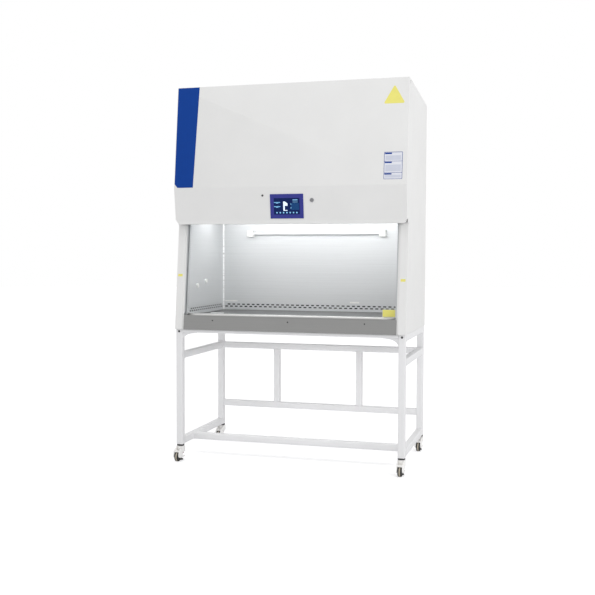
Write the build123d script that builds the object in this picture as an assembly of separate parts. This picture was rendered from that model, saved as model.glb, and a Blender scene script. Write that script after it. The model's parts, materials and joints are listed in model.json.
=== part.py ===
"""Class II biosafety cabinet on a levelling-caster stand.

Millimetres. X to the right, Y to the back, Z up. The origin is on the floor, under the middle of
the cabinet. The front opening faces -Y.
"""
import os
from math import atan2, cos, degrees, pi, radians, sin

from build123d import *

# ---------------------------------------------------------------- driving dimensions
WIDTH = 1400.0            # over the side panels
SHEET = 2.0               # folded sheet steel
Y_REAR = 405.0            # outer face of the rear panel
Z_BASE = 800.0            # underside of the cabinet, top of the stand
Z_HEAD = 1430.0           # underside of the head, top of the front opening
Z_BEND = 1645.0           # where the front cover folds back
Z_TOP = 2250.0            # front top edge of the cover
Z_REAR_TOP = 2200.0       # rear top edge
Z_WORK = 885.0            # top of the work tray
Z_SILL = 896.0            # top of the armrest

Y_FOOT = -364.5           # pillar face at the cabinet's underside
Y_BROW = -294.5           # pillar face at the head's underside
Y_COVER_LOW = -345.0      # front cover at its lower edge
Y_COVER_BEND = -370.0     # front cover at its fold
Y_COVER_TOP = -303.0      # front cover at its top edge
COVER_RETURN = 40.0       # depth of the cover's folded sides
COVER_CORNER = (20.0, 28.0)   # corner cut in the cover's face, across and up

PILLAR_WIDTH = 44.0
PILLAR_LIP = 10.0
PILLAR_RETURN = 45.0

INNER_HALF = 635.0        # chamber face of the inner side walls
Y_INNER_REAR = 295.0      # chamber face of the inner rear wall
Z_CEILING = 1510.0        # underside of the diffuser
Z_FILTER = 1530.0
FILTER_HEIGHT = 80.0
FILTER_WALL = 8.0
Z_PLENUM_TOP = 1960.0
Z_ROOF = 2180.0

SLOT = (20.0, 8.0)        # air slots, long and high
SLOT_PITCH = 34.0
SLOT_ROWS = (906.0, 920.0)

GLASS = 6.0
GLASS_HALF = 648.0
GLASS_SET_BACK = 14.0     # glass face behind the pillar face
GLASS_HEIGHT = 560.0      # measured straight up
SASH_REST = 1432.0        # lower edge of the raised glass

TUBE = 40.0               # stand tube, outside
TUBE_WALL = 2.0
POST_X = 678.0
POST_FRONT_Y = -331.0
POST_REAR_Y = 375.0
Z_POST = 98.0
Z_MID_RAIL = 640.0        # tube centre lines
Z_REAR_LOW_RAIL = 246.0
Z_SIDE_LOW_RAIL = 118.0
CROSSBAR_Y = -153.0
STRUT_X = 280.0

WHEEL_R = 28.0
WHEEL_WIDTH = 24.0
WHEEL_OFFSET = 46.0       # axle ahead of the swivel axis
AXLE_R = 4.0
CASTER_STEM_R = 6.0
PAD_R = 16.0
DIAL_R = 17.5
RUNNING = 0.05            # radial clearance of the running fits

FAN_Z = 1785.0
FAN_R = 110.0
FAN_WIDTH = 96.0
FAN_INLET_R = 84.0
BLADES = 16
MOTOR_SHAFT_R = 8.0

PULLEY_R = 30.0
SYNC_Y = -178.0
SYNC_Z = 2040.0
SYNC_R = 6.0

DUCT_R = 122.0            # exhaust spigot, outside
DUCT_Y = 75.0

HINGE_Y = -256.0
HINGE_Z = 2240.0
HINGE_PIN_R = 4.0

HALF = WIDTH / 2
LEAN = (Y_BROW - Y_FOOT) / (Z_HEAD - Z_BASE)


def face_y(z, depth=0.0):
    """Y of the plane that lies depth behind the sloped pillar faces, at height z."""
    return Y_FOOT + (z - Z_BASE) * LEAN + depth


# ---------------------------------------------------------------- forming helpers
def block(x, y, z):
    """A box between pairs of limits."""
    (x0, x1), (y0, y1), (z0, z1) = x, y, z
    return Pos((x0 + x1) / 2, (y0 + y1) / 2, (z0 + z1) / 2) * Box(x1 - x0, y1 - y0, z1 - z0)


def across(points, x0, x1):
    """A side-view outline of (y, z) points, extruded in X from x0 to x1."""
    outline = Plane.YZ * make_face(Polyline(*points, close=True))
    return Pos(x0, 0, 0) * extrude(outline, x1 - x0, dir=(1, 0, 0))


def leaning(points, z0, z1):
    """A plan section of (x, depth) points, run from z0 to z1 along the pillar slope."""
    section = make_face(Polyline(*[(x, face_y(z0, d)) for x, d in points], close=True))
    run = Vector(0, LEAN * (z1 - z0), z1 - z0)
    return extrude(Pos(0, 0, z0) * section, run.length, dir=run)


def rod(centre, radius, length, axis):
    """A cylinder centred on a point, along X, Y or Z."""
    turn = {"X": Rot(0, 90, 0), "Y": Rot(90, 0, 0), "Z": Rot(0, 0, 0)}[axis]
    return Pos(*centre) * turn * Cylinder(radius, length)


def mirrored(shape):
    return mirror(shape, Plane.YZ)


def pair(shape):
    """A shape and its mirror image on the other side of the cabinet."""
    return [shape, mirrored(shape)]


def slots(places, size, depth, axis):
    """Rectangular cutters of size (long, high), standing across the sheet along axis."""
    length, height = size
    boxes = {"X": (depth, length, height), "Y": (length, depth, height), "Z": (length, height, depth)}
    return [Pos(*p) * Box(*boxes[axis]) for p in places]


def spaced(start, stop, pitch):
    """Evenly spaced places, centred between start and stop."""
    count = int((stop - start) // pitch)
    first = (start + stop - count * pitch) / 2
    return [first + i * pitch for i in range(count + 1)]


def staggered(start, stop, pitch, rows):
    """Two rows of places; the second row sits half a pitch along."""
    return [(s + shift * pitch / 2, row)
            for shift, row in enumerate(rows)
            for s in spaced(start, stop - shift * pitch, pitch)]


# ---------------------------------------------------------------- painted casing
def side_panel():
    edge = PILLAR_RETURN + 0.5
    gap = COVER_RETURN + 2.0
    outline = [
        (face_y(Z_BASE, edge), Z_BASE), (face_y(Z_HEAD, edge), Z_HEAD),
        (Y_COVER_LOW + gap, Z_HEAD), (Y_COVER_LOW + gap, Z_HEAD + 20),
        (Y_COVER_BEND + gap, Z_BEND), (Y_COVER_TOP + gap - 3, Z_TOP - 28),
        (HINGE_Y + 16, Z_TOP - 28), (HINGE_Y + 16, Z_TOP),
        (Y_REAR - SHEET, Z_REAR_TOP), (Y_REAR - SHEET, Z_BASE)]
    return across(outline, HALF - SHEET, HALF)


def pillar():
    """Folded front pillar: outer return, face, step and track lip; the face runs on behind the cover."""
    inner = HALF - PILLAR_WIDTH
    lip = inner - PILLAR_LIP
    section = [
        (HALF, 0), (HALF, PILLAR_RETURN), (HALF - SHEET, PILLAR_RETURN), (HALF - SHEET, SHEET),
        (inner + SHEET, SHEET), (inner + SHEET, 8), (lip, 8), (lip, 6), (inner, 6), (inner, 0)]
    edge = HALF - SHEET - 0.5
    tongue = [(edge, 0), (edge, SHEET), (inner, SHEET), (inner, 0)]
    return leaning(section, Z_BASE, Z_HEAD - 1) + leaning(tongue, Z_HEAD - 1, Z_HEAD + 40)


def rear_panel():
    panel = block((-HALF, HALF), (Y_REAR - SHEET, Y_REAR), (Z_BASE, Z_REAR_TOP))
    inlet = block((-600, -552), (Y_REAR - 5, Y_REAR + 5), (2086, 2116))
    return panel - inlet


HINGE_XS = (-560.0, 560.0)


def roof_panel():
    """Sunken roof with a front upstand that carries the cover's hinge pins."""
    inner = HALF - SHEET
    front = HINGE_Y + 14
    deck = block((-inner, inner), (front, Y_REAR - SHEET), (Z_ROOF, Z_ROOF + SHEET))
    upstand = block((-inner, inner), (front, front + SHEET), (Z_ROOF, Z_TOP - 4))
    deck -= rod((0, DUCT_Y, Z_ROOF), DUCT_R - SHEET, 20, "Z")
    roof = deck + upstand
    for x in HINGE_XS:
        for middle in (x - 26, x + 26):
            roof += block((middle - 10, middle + 10), (HINGE_Y - 6, front), (HINGE_Z - 6, HINGE_Z + 6))
        roof += rod((x, HINGE_Y, HINGE_Z), HINGE_PIN_R, 40, "X")
    return roof


COLLAR_HALF = 124.0       # half the side of the collar's square flange
COLLAR_BOLT = 103.24      # each bolt's place along X and Y from the duct's middle


def exhaust_collar():
    """Spigot on a square flange, which the building's exhaust duct slips over."""
    seat = Z_ROOF + SHEET
    half = COLLAR_HALF
    flange = block((-half, half), (DUCT_Y - half, DUCT_Y + half), (seat, seat + 3))
    spigot = rod((0, DUCT_Y, seat + 34), DUCT_R, 68, "Z")
    collar = flange + spigot - rod((0, DUCT_Y, Z_ROOF + 30), DUCT_R - SHEET, 120, "Z")
    bolts = [(x, DUCT_Y + y) for x in (-COLLAR_BOLT, COLLAR_BOLT) for y in (-COLLAR_BOLT, COLLAR_BOLT)]
    return collar - [rod((x, y, seat), 4.5, 40, "Z") for x, y in bolts]


def front_cover():
    """Hinged cover: one sheet folded over the front, with side, top and bottom returns."""
    outer = [
        (Y_COVER_LOW, Z_HEAD), (Y_COVER_LOW, Z_HEAD + 20), (Y_COVER_BEND, Z_BEND), (Y_COVER_TOP, Z_TOP),
        (Y_COVER_TOP + COVER_RETURN, Z_TOP), (Y_COVER_TOP + COVER_RETURN, Z_TOP - 16),
        (Y_COVER_BEND + COVER_RETURN, Z_BEND), (Y_COVER_LOW + COVER_RETURN, Z_HEAD + 20),
        (Y_COVER_LOW + COVER_RETURN, Z_HEAD)]
    inner = [
        (Y_COVER_LOW + SHEET, Z_HEAD + SHEET), (Y_COVER_LOW + SHEET, Z_HEAD + 20),
        (Y_COVER_BEND + SHEET, Z_BEND), (Y_COVER_TOP + SHEET, Z_TOP - SHEET),
        (Y_COVER_TOP + 90, Z_TOP - SHEET), (Y_COVER_TOP + 90, Z_HEAD + SHEET)]
    shell = across(outer, -HALF, HALF) - across(inner, SHEET - HALF, HALF - SHEET)
    cut_x, cut_z = COVER_CORNER
    corner = Plane.XZ * make_face(Polyline(
        (HALF - cut_x, Z_HEAD - 1), (HALF + 1, Z_HEAD + cut_z), (HALF + 1, Z_HEAD - 1), close=True))
    corner = extrude(Pos(0, Y_COVER_BEND, 0) * corner, 90, dir=(0, 1, 0))
    shell -= pair(corner)
    fold = Plane.XZ * make_face(Polyline(
        (HALF - cut_x, Z_HEAD), (HALF, Z_HEAD + cut_z), (HALF - SHEET, Z_HEAD + cut_z),
        (HALF - cut_x - SHEET, Z_HEAD), close=True))
    shell += pair(extrude(Pos(0, Y_COVER_LOW + 0.5, 0) * fold, COVER_RETURN - 0.5, dir=(0, 1, 0)))
    shell -= screen_place() * Box(SCREEN_HOLE[0], 30, SCREEN_HOLE[1])
    shell -= panel_rod(LOCK_X, LOCK_UP, 9, 30)
    for x in HINGE_XS:
        arm = block((x - 14, x + 14), (Y_COVER_TOP + 30, HINGE_Y), (HINGE_Z + 2, Z_TOP - SHEET))
        shell += arm + rod((x, HINGE_Y, HINGE_Z), 8, 28, "X")
        shell -= rod((x, HINGE_Y, HINGE_Z), HINGE_PIN_R + RUNNING, 40, "X")
        shell -= block((x - 40, x - 14.5), (Y_COVER_TOP + 36, HINGE_Y + 12), (HINGE_Z - 12, Z_TOP + 1))
        shell -= block((x + 14.5, x + 40), (Y_COVER_TOP + 36, HINGE_Y + 12), (HINGE_Z - 12, Z_TOP + 1))
    return shell


# the lower, forward-leaning part of the cover is the control panel
PANEL_TILT = degrees(atan2(Y_COVER_LOW - Y_COVER_BEND, Z_BEND - Z_HEAD - 20))
SCREEN_UP = 82.0          # centre of the screen above the cover's lower fold
SCREEN = (156.0, 95.0)
BEZEL = (201.0, 142.0)
SCREEN_HOLE = (193.0, 134.0)
LOCK_X, LOCK_UP = 151.0, 116.0
LENS_X, LENS_UP = -146.0, 146.0


def on_panel(x, up, out=0.0):
    """A location on the control panel face: local Z points out of the panel."""
    tilt = radians(PANEL_TILT)
    y = Y_COVER_LOW - up * sin(tilt) - out * cos(tilt)
    z = Z_HEAD + 20 + up * cos(tilt) - out * sin(tilt)
    return Pos(x, y, z) * Rot(90 + PANEL_TILT, 0, 0)


def screen_place():
    return Pos(*on_panel(0, SCREEN_UP).position) * Rot(PANEL_TILT, 0, 0)


def panel_rod(x, up, radius, length, out=0.0):
    return on_panel(x, up, out) * Cylinder(radius, length)


def screen_bezel():
    """Moulded frame: a flange on the panel face and a body that drops through the panel's hole."""
    flange = screen_place() * Pos(0, -1.5, 0) * Box(BEZEL[0], 3, BEZEL[1])
    body = screen_place() * Pos(0, 7, 0) * Box(SCREEN_HOLE[0], 14, SCREEN_HOLE[1])
    return flange + body - screen_place() * Box(SCREEN[0], 60, SCREEN[1])


def touch_screen():
    """Glass-fronted display, set just below the bezel's flange."""
    return screen_place() * Pos(0, 6, 0) * Box(SCREEN[0], 16, SCREEN[1])


def status_lens():
    """Domed indicator lens, reduced to a disc on the panel's face."""
    return panel_rod(LENS_X, LENS_UP, 6, 3, 1.5)


def key_switch():
    """Keyed power switch: turning barrel with a slotted head."""
    barrel = panel_rod(LOCK_X, LOCK_UP, 9 - RUNNING, 30, -15)
    head = on_panel(LOCK_X, LOCK_UP, 2) * Cylinder(10.5, 3)
    key_slot = on_panel(LOCK_X, LOCK_UP, 3) * Box(2, 9, 3)
    return barrel + panel_rod(LOCK_X, LOCK_UP, 9 - RUNNING, 4, 0) + head - key_slot


# ---------------------------------------------------------------- stainless chamber
def inner_wall():
    """Inner side wall with two staggered rows of air slots, its front return and the tray's ledge."""
    back = Y_INNER_REAR + SHEET
    outline = [
        (face_y(Z_BASE + SHEET, 25), Z_BASE + SHEET), (face_y(Z_CEILING, 25), Z_CEILING),
        (back, Z_CEILING), (back, Z_BASE + SHEET)]
    wall = across(outline, INNER_HALF, INNER_HALF + SHEET)
    front = [(INNER_HALF + SHEET, 25), (656, 25), (656, 27), (INNER_HALF + SHEET, 27)]
    flange = leaning(front, Z_BASE + SHEET, Z_CEILING)
    places = [(INNER_HALF + 1, y, z) for y, z in staggered(-290, 280, SLOT_PITCH, SLOT_ROWS)]
    wall -= slots(places, SLOT, 10, "X")
    ledge = block((INNER_HALF - 14, INNER_HALF), (-296, Y_INNER_REAR), (Z_WORK - 4, Z_WORK - 2))
    return [wall, flange, ledge]


def inner_wall_rear():
    sheet = block((-INNER_HALF, INNER_HALF), (Y_INNER_REAR, Y_INNER_REAR + SHEET), (Z_BASE + SHEET, Z_CEILING))
    places = [(x, Y_INNER_REAR + 1, z) for x, z in staggered(-620, 620, SLOT_PITCH, SLOT_ROWS)]
    return sheet - slots(places, SLOT, 10, "Y")


def base_pan():
    """Floor of the cabinet: catches spills under the work tray."""
    inner = HALF - SHEET
    front = face_y(Z_BASE, 9)
    return block((-inner, inner), (front, Y_REAR - SHEET), (Z_BASE, Z_BASE + SHEET))


def front_apron():
    """Stainless front skirt between the pillars."""
    section = [(-645.5, 2), (645.5, 2), (645.5, 4), (-645.5, 4)]
    skirt = leaning(section, Z_BASE, Z_SILL - 10)
    return skirt + block((-645.5, 645.5), (face_y(Z_BASE, 3), face_y(Z_BASE, 9)), (Z_BASE, Z_BASE + SHEET))


def armrest_sill():
    """Armrest along the front edge, its ends cut back at an angle, with a rounded nose."""
    back = -302.0
    plan = [(-634, back), (634, back), (634, -326), (570, -358), (-570, -358), (-634, -326)]
    bar = extrude(Pos(0, 0, Z_SILL - 10) * make_face(Polyline(*plan, close=True)), 10)
    nose = bar.edges().filter_by(Axis.X).group_by(Axis.Y)[0].group_by(Axis.Z)[-1]
    return fillet(nose, 6)


def front_grille():
    sheet = block((-634, 634), (-301.5, -205), (Z_WORK - 2, Z_WORK))
    places = [(x, y, Z_WORK) for x, y in staggered(-600, 600, 2 * SLOT_PITCH, (-280.0, -250.0))]
    return sheet - slots(places, (50.0, 8.0), 10, "Z")


def work_tray():
    """Lift-out work surface; sheets welded edge to edge leave a finger slot at each end."""
    y0, y1, end = -203, 293, 632
    slot_x, slot_y = (573, 597), (0, 90)
    z = (Z_WORK - SHEET, Z_WORK)
    sheets = [block((-slot_x[0], slot_x[0]), (y0, y1), z)]
    for y in ((y0, slot_y[0]), (slot_y[1], y1)):
        sheets += pair(block((slot_x[0], end), y, z))
    return sheets + pair(block((slot_x[1], end), slot_y, z))


def tray_ribs():
    """Stiffening ribs under the work surface."""
    return [block((x - 15, x + 15), (-190, 280), (Z_WORK - 14, Z_WORK - 2)) for x in (-400, -133, 133, 400)]


def sash_tracks():
    """C-channels that guide the glass edges, from the sill up to the top of the plenum."""
    section = [
        (640, 8), (656, 8), (656, 25), (640, 25), (640, 21.5), (650, 21.5), (650, 12.5), (640, 12.5)]
    return pair(leaning(section, Z_SILL + 2, SASH_REST + GLASS_HEIGHT + 4))


def diffuser_screen():
    half, back = INNER_HALF + SHEET, Y_INNER_REAR + SHEET
    sheet = block((-half, half), (-248, back), (Z_CEILING, Z_CEILING + SHEET))
    rim = block((-half, half), (-248, back), (Z_CEILING, Z_FILTER - SHEET))
    return sheet + (rim - block((-615, 615), (-228, 275), (Z_CEILING - 5, Z_FILTER + 5)))


def filter_unit(x_half, y0, y1, z0, pleats):
    """Aluminium frame round a pleated media pack."""
    top = z0 + FILTER_HEIGHT
    wall = FILTER_WALL
    inner = x_half - wall
    frame = block((-x_half, x_half), (y0, y1), (z0, top))
    frame -= block((-inner, inner), (y0 + wall, y1 - wall), (z0 - 5, top + 5))
    half_pitch = inner / pleats
    crests = [(i * half_pitch - inner, z0 + (12 if i % 2 else FILTER_HEIGHT - 12)) for i in range(2 * pleats + 1)]
    sheet = crests + [(x, z - 4) for x, z in reversed(crests)]
    media = Plane.XZ * make_face(Polyline(*sheet, close=True))
    return [frame, extrude(Pos(0, y0 + wall, 0) * media, y1 - y0 - 2 * wall, dir=(0, 1, 0))]


def plenum_box():
    """Pressure plenum: leaning front wall, rear and side walls, filter ledge and open top deck."""
    z0, z1 = Z_FILTER - SHEET, Z_PLENUM_TOP
    back = Y_INNER_REAR + SHEET
    outer = [(face_y(z0, 25), z0), (face_y(z1, 25), z1), (back, z1), (back, z0)]
    inner = [
        (face_y(z0 - 5, 27), z0 - 5), (face_y(z1 - SHEET, 27), z1 - SHEET),
        (Y_INNER_REAR, z1 - SHEET), (Y_INNER_REAR, z0 - 5)]
    half = INNER_HALF + SHEET
    box = across(outer, -half, half) - across(inner, -INNER_HALF, INNER_HALF)
    ledge = block((-INNER_HALF, INNER_HALF), (face_y(z0, 26), Y_INNER_REAR), (z0, z0 + SHEET))
    box += ledge - block((-615, 615), (-225, 275), (z0 - 5, z0 + 5))
    box -= block((-282, 282), (-82, 262), (z1 - 10, z1 + 10))
    return box - rod((0, Y_INNER_REAR, FAN_Z), FAN_INLET_R + 4, 20, "Y")


def plenum_brackets():
    """Strips beside the plenum's front wall, and the plates that carry the sash's levelling shaft."""
    half = INNER_HALF + SHEET
    pieces = pair(leaning([(half, 25), (656, 25), (656, 27), (half, 27)], Z_FILTER - SHEET, Z_PLENUM_TOP))
    for x in (-590, 590):
        plate = block((x - 4, x + 4), (SYNC_Y - 14, SYNC_Y + 20), (Z_PLENUM_TOP, SYNC_Z + 14))
        pieces.append(plate - rod((x, SYNC_Y, SYNC_Z), SYNC_R + RUNNING, 20, "X"))
    return pieces


# ---------------------------------------------------------------- blower
def scroll_radius(angle):
    """Spiral casing: the radius grows with the angle round the wheel."""
    return FAN_R + 14 + 46 * angle / (1.5 * pi)


def blower_housing():
    """Scroll casing with an inlet mouth at the rear and a discharge along the bottom."""
    y0, y1 = Y_INNER_REAR - 136, Y_INNER_REAR
    steps = 18

    def outline(grow):
        turn = [1.5 * pi * i / steps for i in range(steps + 1)]
        spiral = [((scroll_radius(a) + grow) * cos(a), (scroll_radius(a) + grow) * sin(a)) for a in turn]
        tail = scroll_radius(1.5 * pi) + grow
        return spiral + [(FAN_R + 14 + grow, -tail)]

    def prism(grow, a, b):
        section = Plane.XZ * make_face(Polyline(*outline(grow), close=True))
        return extrude(Pos(0, a, FAN_Z) * section, b - a, dir=(0, 1, 0))

    shell = prism(2, y0, y1) - prism(0, y0 + 2, y1 - 2)
    mouth = block((70, FAN_R + 14), (y0 + 6, y1 - 6), (FAN_Z - 190, FAN_Z - 150))
    shell -= mouth
    shell -= rod((0, y1, FAN_Z), FAN_INLET_R, 20, "Y")
    return shell - rod((0, y0, FAN_Z), 20, 20, "Y")


def fan_impeller():
    """Forward-curved blower wheel: hub disc, front ring and a row of curved blades."""
    y1 = Y_INNER_REAR - 18
    y0 = y1 - FAN_WIDTH
    disc = rod((0, y0 + 2, FAN_Z), FAN_R, 4, "Y")
    ring = rod((0, y1 - 2, FAN_Z), FAN_R, 4, "Y") - rod((0, y1 - 2, FAN_Z), FAN_R - 16, 10, "Y")
    hub = rod((0, y0 + 16, FAN_Z), 18, 32, "Y")
    chord, thick = 15.0, 2.0
    wheel = disc + ring + hub
    blade = Pos(FAN_R - 8.5, 0, 0) * Rot(0, 0, 28) * Box(chord, thick, FAN_WIDTH - 4)
    row = [Rot(0, 0, 360 * i / BLADES) * blade for i in range(BLADES)]
    wheel += [Pos(0, (y0 + y1) / 2, FAN_Z) * Rot(90, 0, 0) * b for b in row]
    return wheel - rod((0, y0 + 12, FAN_Z), MOTOR_SHAFT_R + RUNNING, 60, "Y")


def blower_motor():
    y0 = Y_INNER_REAR - 136
    body = rod((0, y0 - 39, FAN_Z), 58, 78, "Y")
    return body + rod((0, y0 + 24, FAN_Z), MOTOR_SHAFT_R, 50, "Y")


# ---------------------------------------------------------------- lamps and services
UV_Z = 1388.0
UV_ENDS = (-437.0, 446.0)


def uv_lamp_holders():
    holders = []
    for x in UV_ENDS:
        foot = block((x - 22, x + 22), (Y_INNER_REAR - 34, Y_INNER_REAR), (UV_Z - 20, UV_Z + 20))
        foot = chamfer(foot.edges().filter_by(Axis.Z).group_by(Axis.Y)[0], 5)
        side = 1 if x < 0 else -1
        holders.append(foot - rod((x + side * 20, Y_INNER_REAR - 20, UV_Z), 8.5, 20, "X"))
    return holders


def uv_lamp_tube():
    a, b = UV_ENDS
    glass = rod(((a + b) / 2, Y_INNER_REAR - 20, UV_Z), 7.5, b - a - 44, "X")
    caps = [rod((x, Y_INNER_REAR - 20, UV_Z), 8.5, 10, "X") for x in (a + 17, b - 17)]
    return glass + caps


def work_light():
    """Strip lamp under the ceiling, just behind the sash."""
    lamp = block((-580, 580), (-236, -186), (Z_CEILING - 26, Z_CEILING))
    return fillet(lamp.edges().filter_by(Axis.X).group_by(Axis.Z)[0], 10)


SOCKET_YS = (-90.0, 10.0)
SOCKET_Z = 1085.0


def socket_boxes():
    """Two splash-proof outlets on the right inner wall."""
    boxes = []
    for y in SOCKET_YS:
        box = block((INNER_HALF - 18, INNER_HALF), (y - 40, y + 40), (SOCKET_Z - 42, SOCKET_Z + 42))
        box = chamfer(box.edges().filter_by(Axis.X), 5)
        well = rod((INNER_HALF - 18, y, SOCKET_Z - 4), 20, 20, "X")
        lug = [block((INNER_HALF - 25, INNER_HALF - 18), (y + s * 22 - 5, y + s * 22 + 5),
                     (SOCKET_Z + 30, SOCKET_Z + 38)) for s in (-1, 1)]
        pin = rod((INNER_HALF - 22, y, SOCKET_Z + 34), 1.5, 54, "Y")
        boxes.append(box - well + lug + pin)
    return boxes


def socket_flap(y):
    """Spring cover over one outlet, hung on a pin above it."""
    lid = block((INNER_HALF - 23.5, INNER_HALF - 18.4), (y - 32, y + 32), (SOCKET_Z - 34, SOCKET_Z + 28))
    lid = chamfer(lid.edges().filter_by(Axis.X), 4)
    knuckle = rod((INNER_HALF - 22, y, SOCKET_Z + 34), 3.2, 33, "Y")
    neck = block((INNER_HALF - 23.5, INNER_HALF - 20.5), (y - 16, y + 16), (SOCKET_Z + 26, SOCKET_Z + 33))
    return lid + neck + knuckle - rod((INNER_HALF - 22, y, SOCKET_Z + 34), 1.5 + RUNNING, 60, "Y")


def service_plugs():
    """Blanking plugs in the gas and vacuum ports of the left inner wall."""
    return [rod((-INNER_HALF + 4, y, z), 14, 8, "X") for y, z in ((-165.0, 1058.0), (-22.0, 1082.0))]


def electrical_box():
    """Enclosure behind the cover, standing on the plenum: a folded tray and its back plate."""
    x, y, z = (120, 560), (-142, -104), (Z_PLENUM_TOP, Z_ROOF)
    tray = block(x, y, z)
    tray = fillet(tray.edges().filter_by(Axis.Z).group_by(Axis.Y)[0], 5)
    tray -= block((x[0] + SHEET, x[1] - SHEET), (y[0] + SHEET, y[1] + 1), (z[0] + SHEET, z[1] - SHEET))
    plate = block((x[0] + SHEET, x[1] - SHEET), (y[1] - SHEET, y[1]), (z[0] + SHEET, z[1] - SHEET))
    return [tray, plate]


def power_inlet():
    """Three-pin appliance inlet in the rear panel."""
    body = block((-600, -552), (Y_REAR - 32, Y_REAR), (2086, 2116))
    body -= block((-590, -562), (Y_REAR - 18, Y_REAR + 5), (2091, 2111))
    pins = [block((x - 1, x + 1), (Y_REAR - 18, Y_REAR - 8), (z - 3, z + 3))
            for x, z in ((-583, 2098), (-576, 2104), (-569, 2098))]
    return body + pins


# ---------------------------------------------------------------- sash and its balance
def sash_glass():
    y = GLASS_SET_BACK
    section = [(-GLASS_HALF, y), (GLASS_HALF, y), (GLASS_HALF, y + GLASS), (-GLASS_HALF, y + GLASS)]
    return leaning(section, SASH_REST, SASH_REST + GLASS_HEIGHT)


def sash_handle():
    """Grip strip clamped along the glass's lower edge."""
    section = [
        (-628, 4), (628, 4), (628, 6), (626, 6), (626, GLASS_SET_BACK), (-626, GLASS_SET_BACK),
        (-626, 6), (-628, 6)]
    strip = leaning(section, SASH_REST, SASH_REST + 26)
    return strip


def counterweights():
    """Steel weights that run up and down inside the side channels."""
    return pair(block((643, 691), (SYNC_Y + PULLEY_R - 16, SYNC_Y + PULLEY_R + 16), (860, 1380)))


def sync_shaft():
    """Shaft that keeps both ends of the sash level, with a pulley at each end."""
    shaft = rod((0, SYNC_Y, SYNC_Z), SYNC_R, 1300, "X")
    for x in (-655, 655):
        shaft += rod((x, SYNC_Y, SYNC_Z), PULLEY_R, 16, "X")
    return shaft


# ---------------------------------------------------------------- stand
def tube(axis, a, b, u, v):
    """Open-ended square tube along an axis from a to b; u and v place its centre line."""
    half = TUBE / 2
    bore = half - TUBE_WALL
    spans = {"X": [(a, b), (u - half, u + half), (v - half, v + half)],
             "Y": [(u - half, u + half), (a, b), (v - half, v + half)],
             "Z": [(u - half, u + half), (v - half, v + half), (a, b)]}[axis]
    holes = {"X": [(a - 1, b + 1), (u - bore, u + bore), (v - bore, v + bore)],
             "Y": [(u - bore, u + bore), (a - 1, b + 1), (v - bore, v + bore)],
             "Z": [(u - bore, u + bore), (v - bore, v + bore), (a - 1, b + 1)]}[axis]
    return block(*spans) - block(*holes)


T2 = TUBE / 2
CASTER_TOP = Z_POST - 4.0


def stand_posts():
    return [tube("Z", Z_POST, Z_BASE, sx * POST_X, y) for sx in (-1, 1) for y in (POST_FRONT_Y, POST_REAR_Y)]


def gusset(side):
    """Plate with a hollow elliptical edge that braces the front rail against its post."""
    x = side * (POST_X - T2)
    z = Z_BASE - 20
    reach, drop, rim = 90.0, 45.0, 3.0
    plate = block(sorted((x - side * reach, x)), (POST_FRONT_Y - 12, POST_FRONT_Y - 8), (z - drop, z))
    hollow = Plane.XZ * Ellipse(reach - rim, drop - rim)
    return plate - extrude(Pos(x - side * reach, POST_FRONT_Y, z - drop) * hollow, 40, both=True)


def stand_top_frame():
    rails = [tube("Y", POST_FRONT_Y + T2, POST_REAR_Y - T2, s * POST_X, Z_BASE - T2) for s in (-1, 1)]
    rails.append(tube("X", T2 - POST_X, POST_X - T2, POST_REAR_Y, Z_BASE - T2))
    front = block((T2 - POST_X, POST_X - T2), (POST_FRONT_Y - T2, POST_FRONT_Y + T2), (Z_BASE - 20, Z_BASE))
    front -= block((-POST_X, POST_X), (POST_FRONT_Y - T2 + 2, POST_FRONT_Y + T2 - 2), (Z_BASE - 18, Z_BASE - 2))
    return rails + [front, gusset(-1), gusset(1)]


def stand_mid_rails():
    rails = [tube("Y", POST_FRONT_Y + T2, POST_REAR_Y - T2, s * POST_X, Z_MID_RAIL) for s in (-1, 1)]
    return rails + [tube("X", T2 - POST_X, POST_X - T2, POST_REAR_Y, Z_MID_RAIL)]


def stand_lower_rails():
    low = [tube("Y", POST_FRONT_Y + T2, POST_REAR_Y - T2, s * POST_X, Z_SIDE_LOW_RAIL) for s in (-1, 1)]
    low.append(tube("X", T2 - POST_X, POST_X - T2, POST_REAR_Y, Z_REAR_LOW_RAIL))
    low.append(tube("X", T2 - POST_X, POST_X - T2, CROSSBAR_Y, Z_SIDE_LOW_RAIL))
    struts = [tube("Z", Z_REAR_LOW_RAIL + T2, Z_MID_RAIL - T2, s * STRUT_X, POST_REAR_Y) for s in (-1, 1)]
    return low + struts


def stand_fasteners():
    """Bolts on the posts' front faces, and the collars and stems between posts and casters."""
    parts = []
    for s in (-1, 1):
        for y in (POST_FRONT_Y, POST_REAR_Y):
            hexagon = Rot(90, 0, 0) * RegularPolygon(6, 6)
            parts.append(extrude(Pos(s * POST_X, y - T2, Z_BASE - 14) * hexagon, 3, dir=(0, -1, 0)))
            plate = extrude(Pos(s * POST_X, y, CASTER_TOP) * RegularPolygon(19, 16), Z_POST - CASTER_TOP)
            parts.append(plate + extrude(Pos(s * POST_X, y, Z_POST - 14) * RegularPolygon(CASTER_STEM_R, 12), 14))
    return parts


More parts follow.
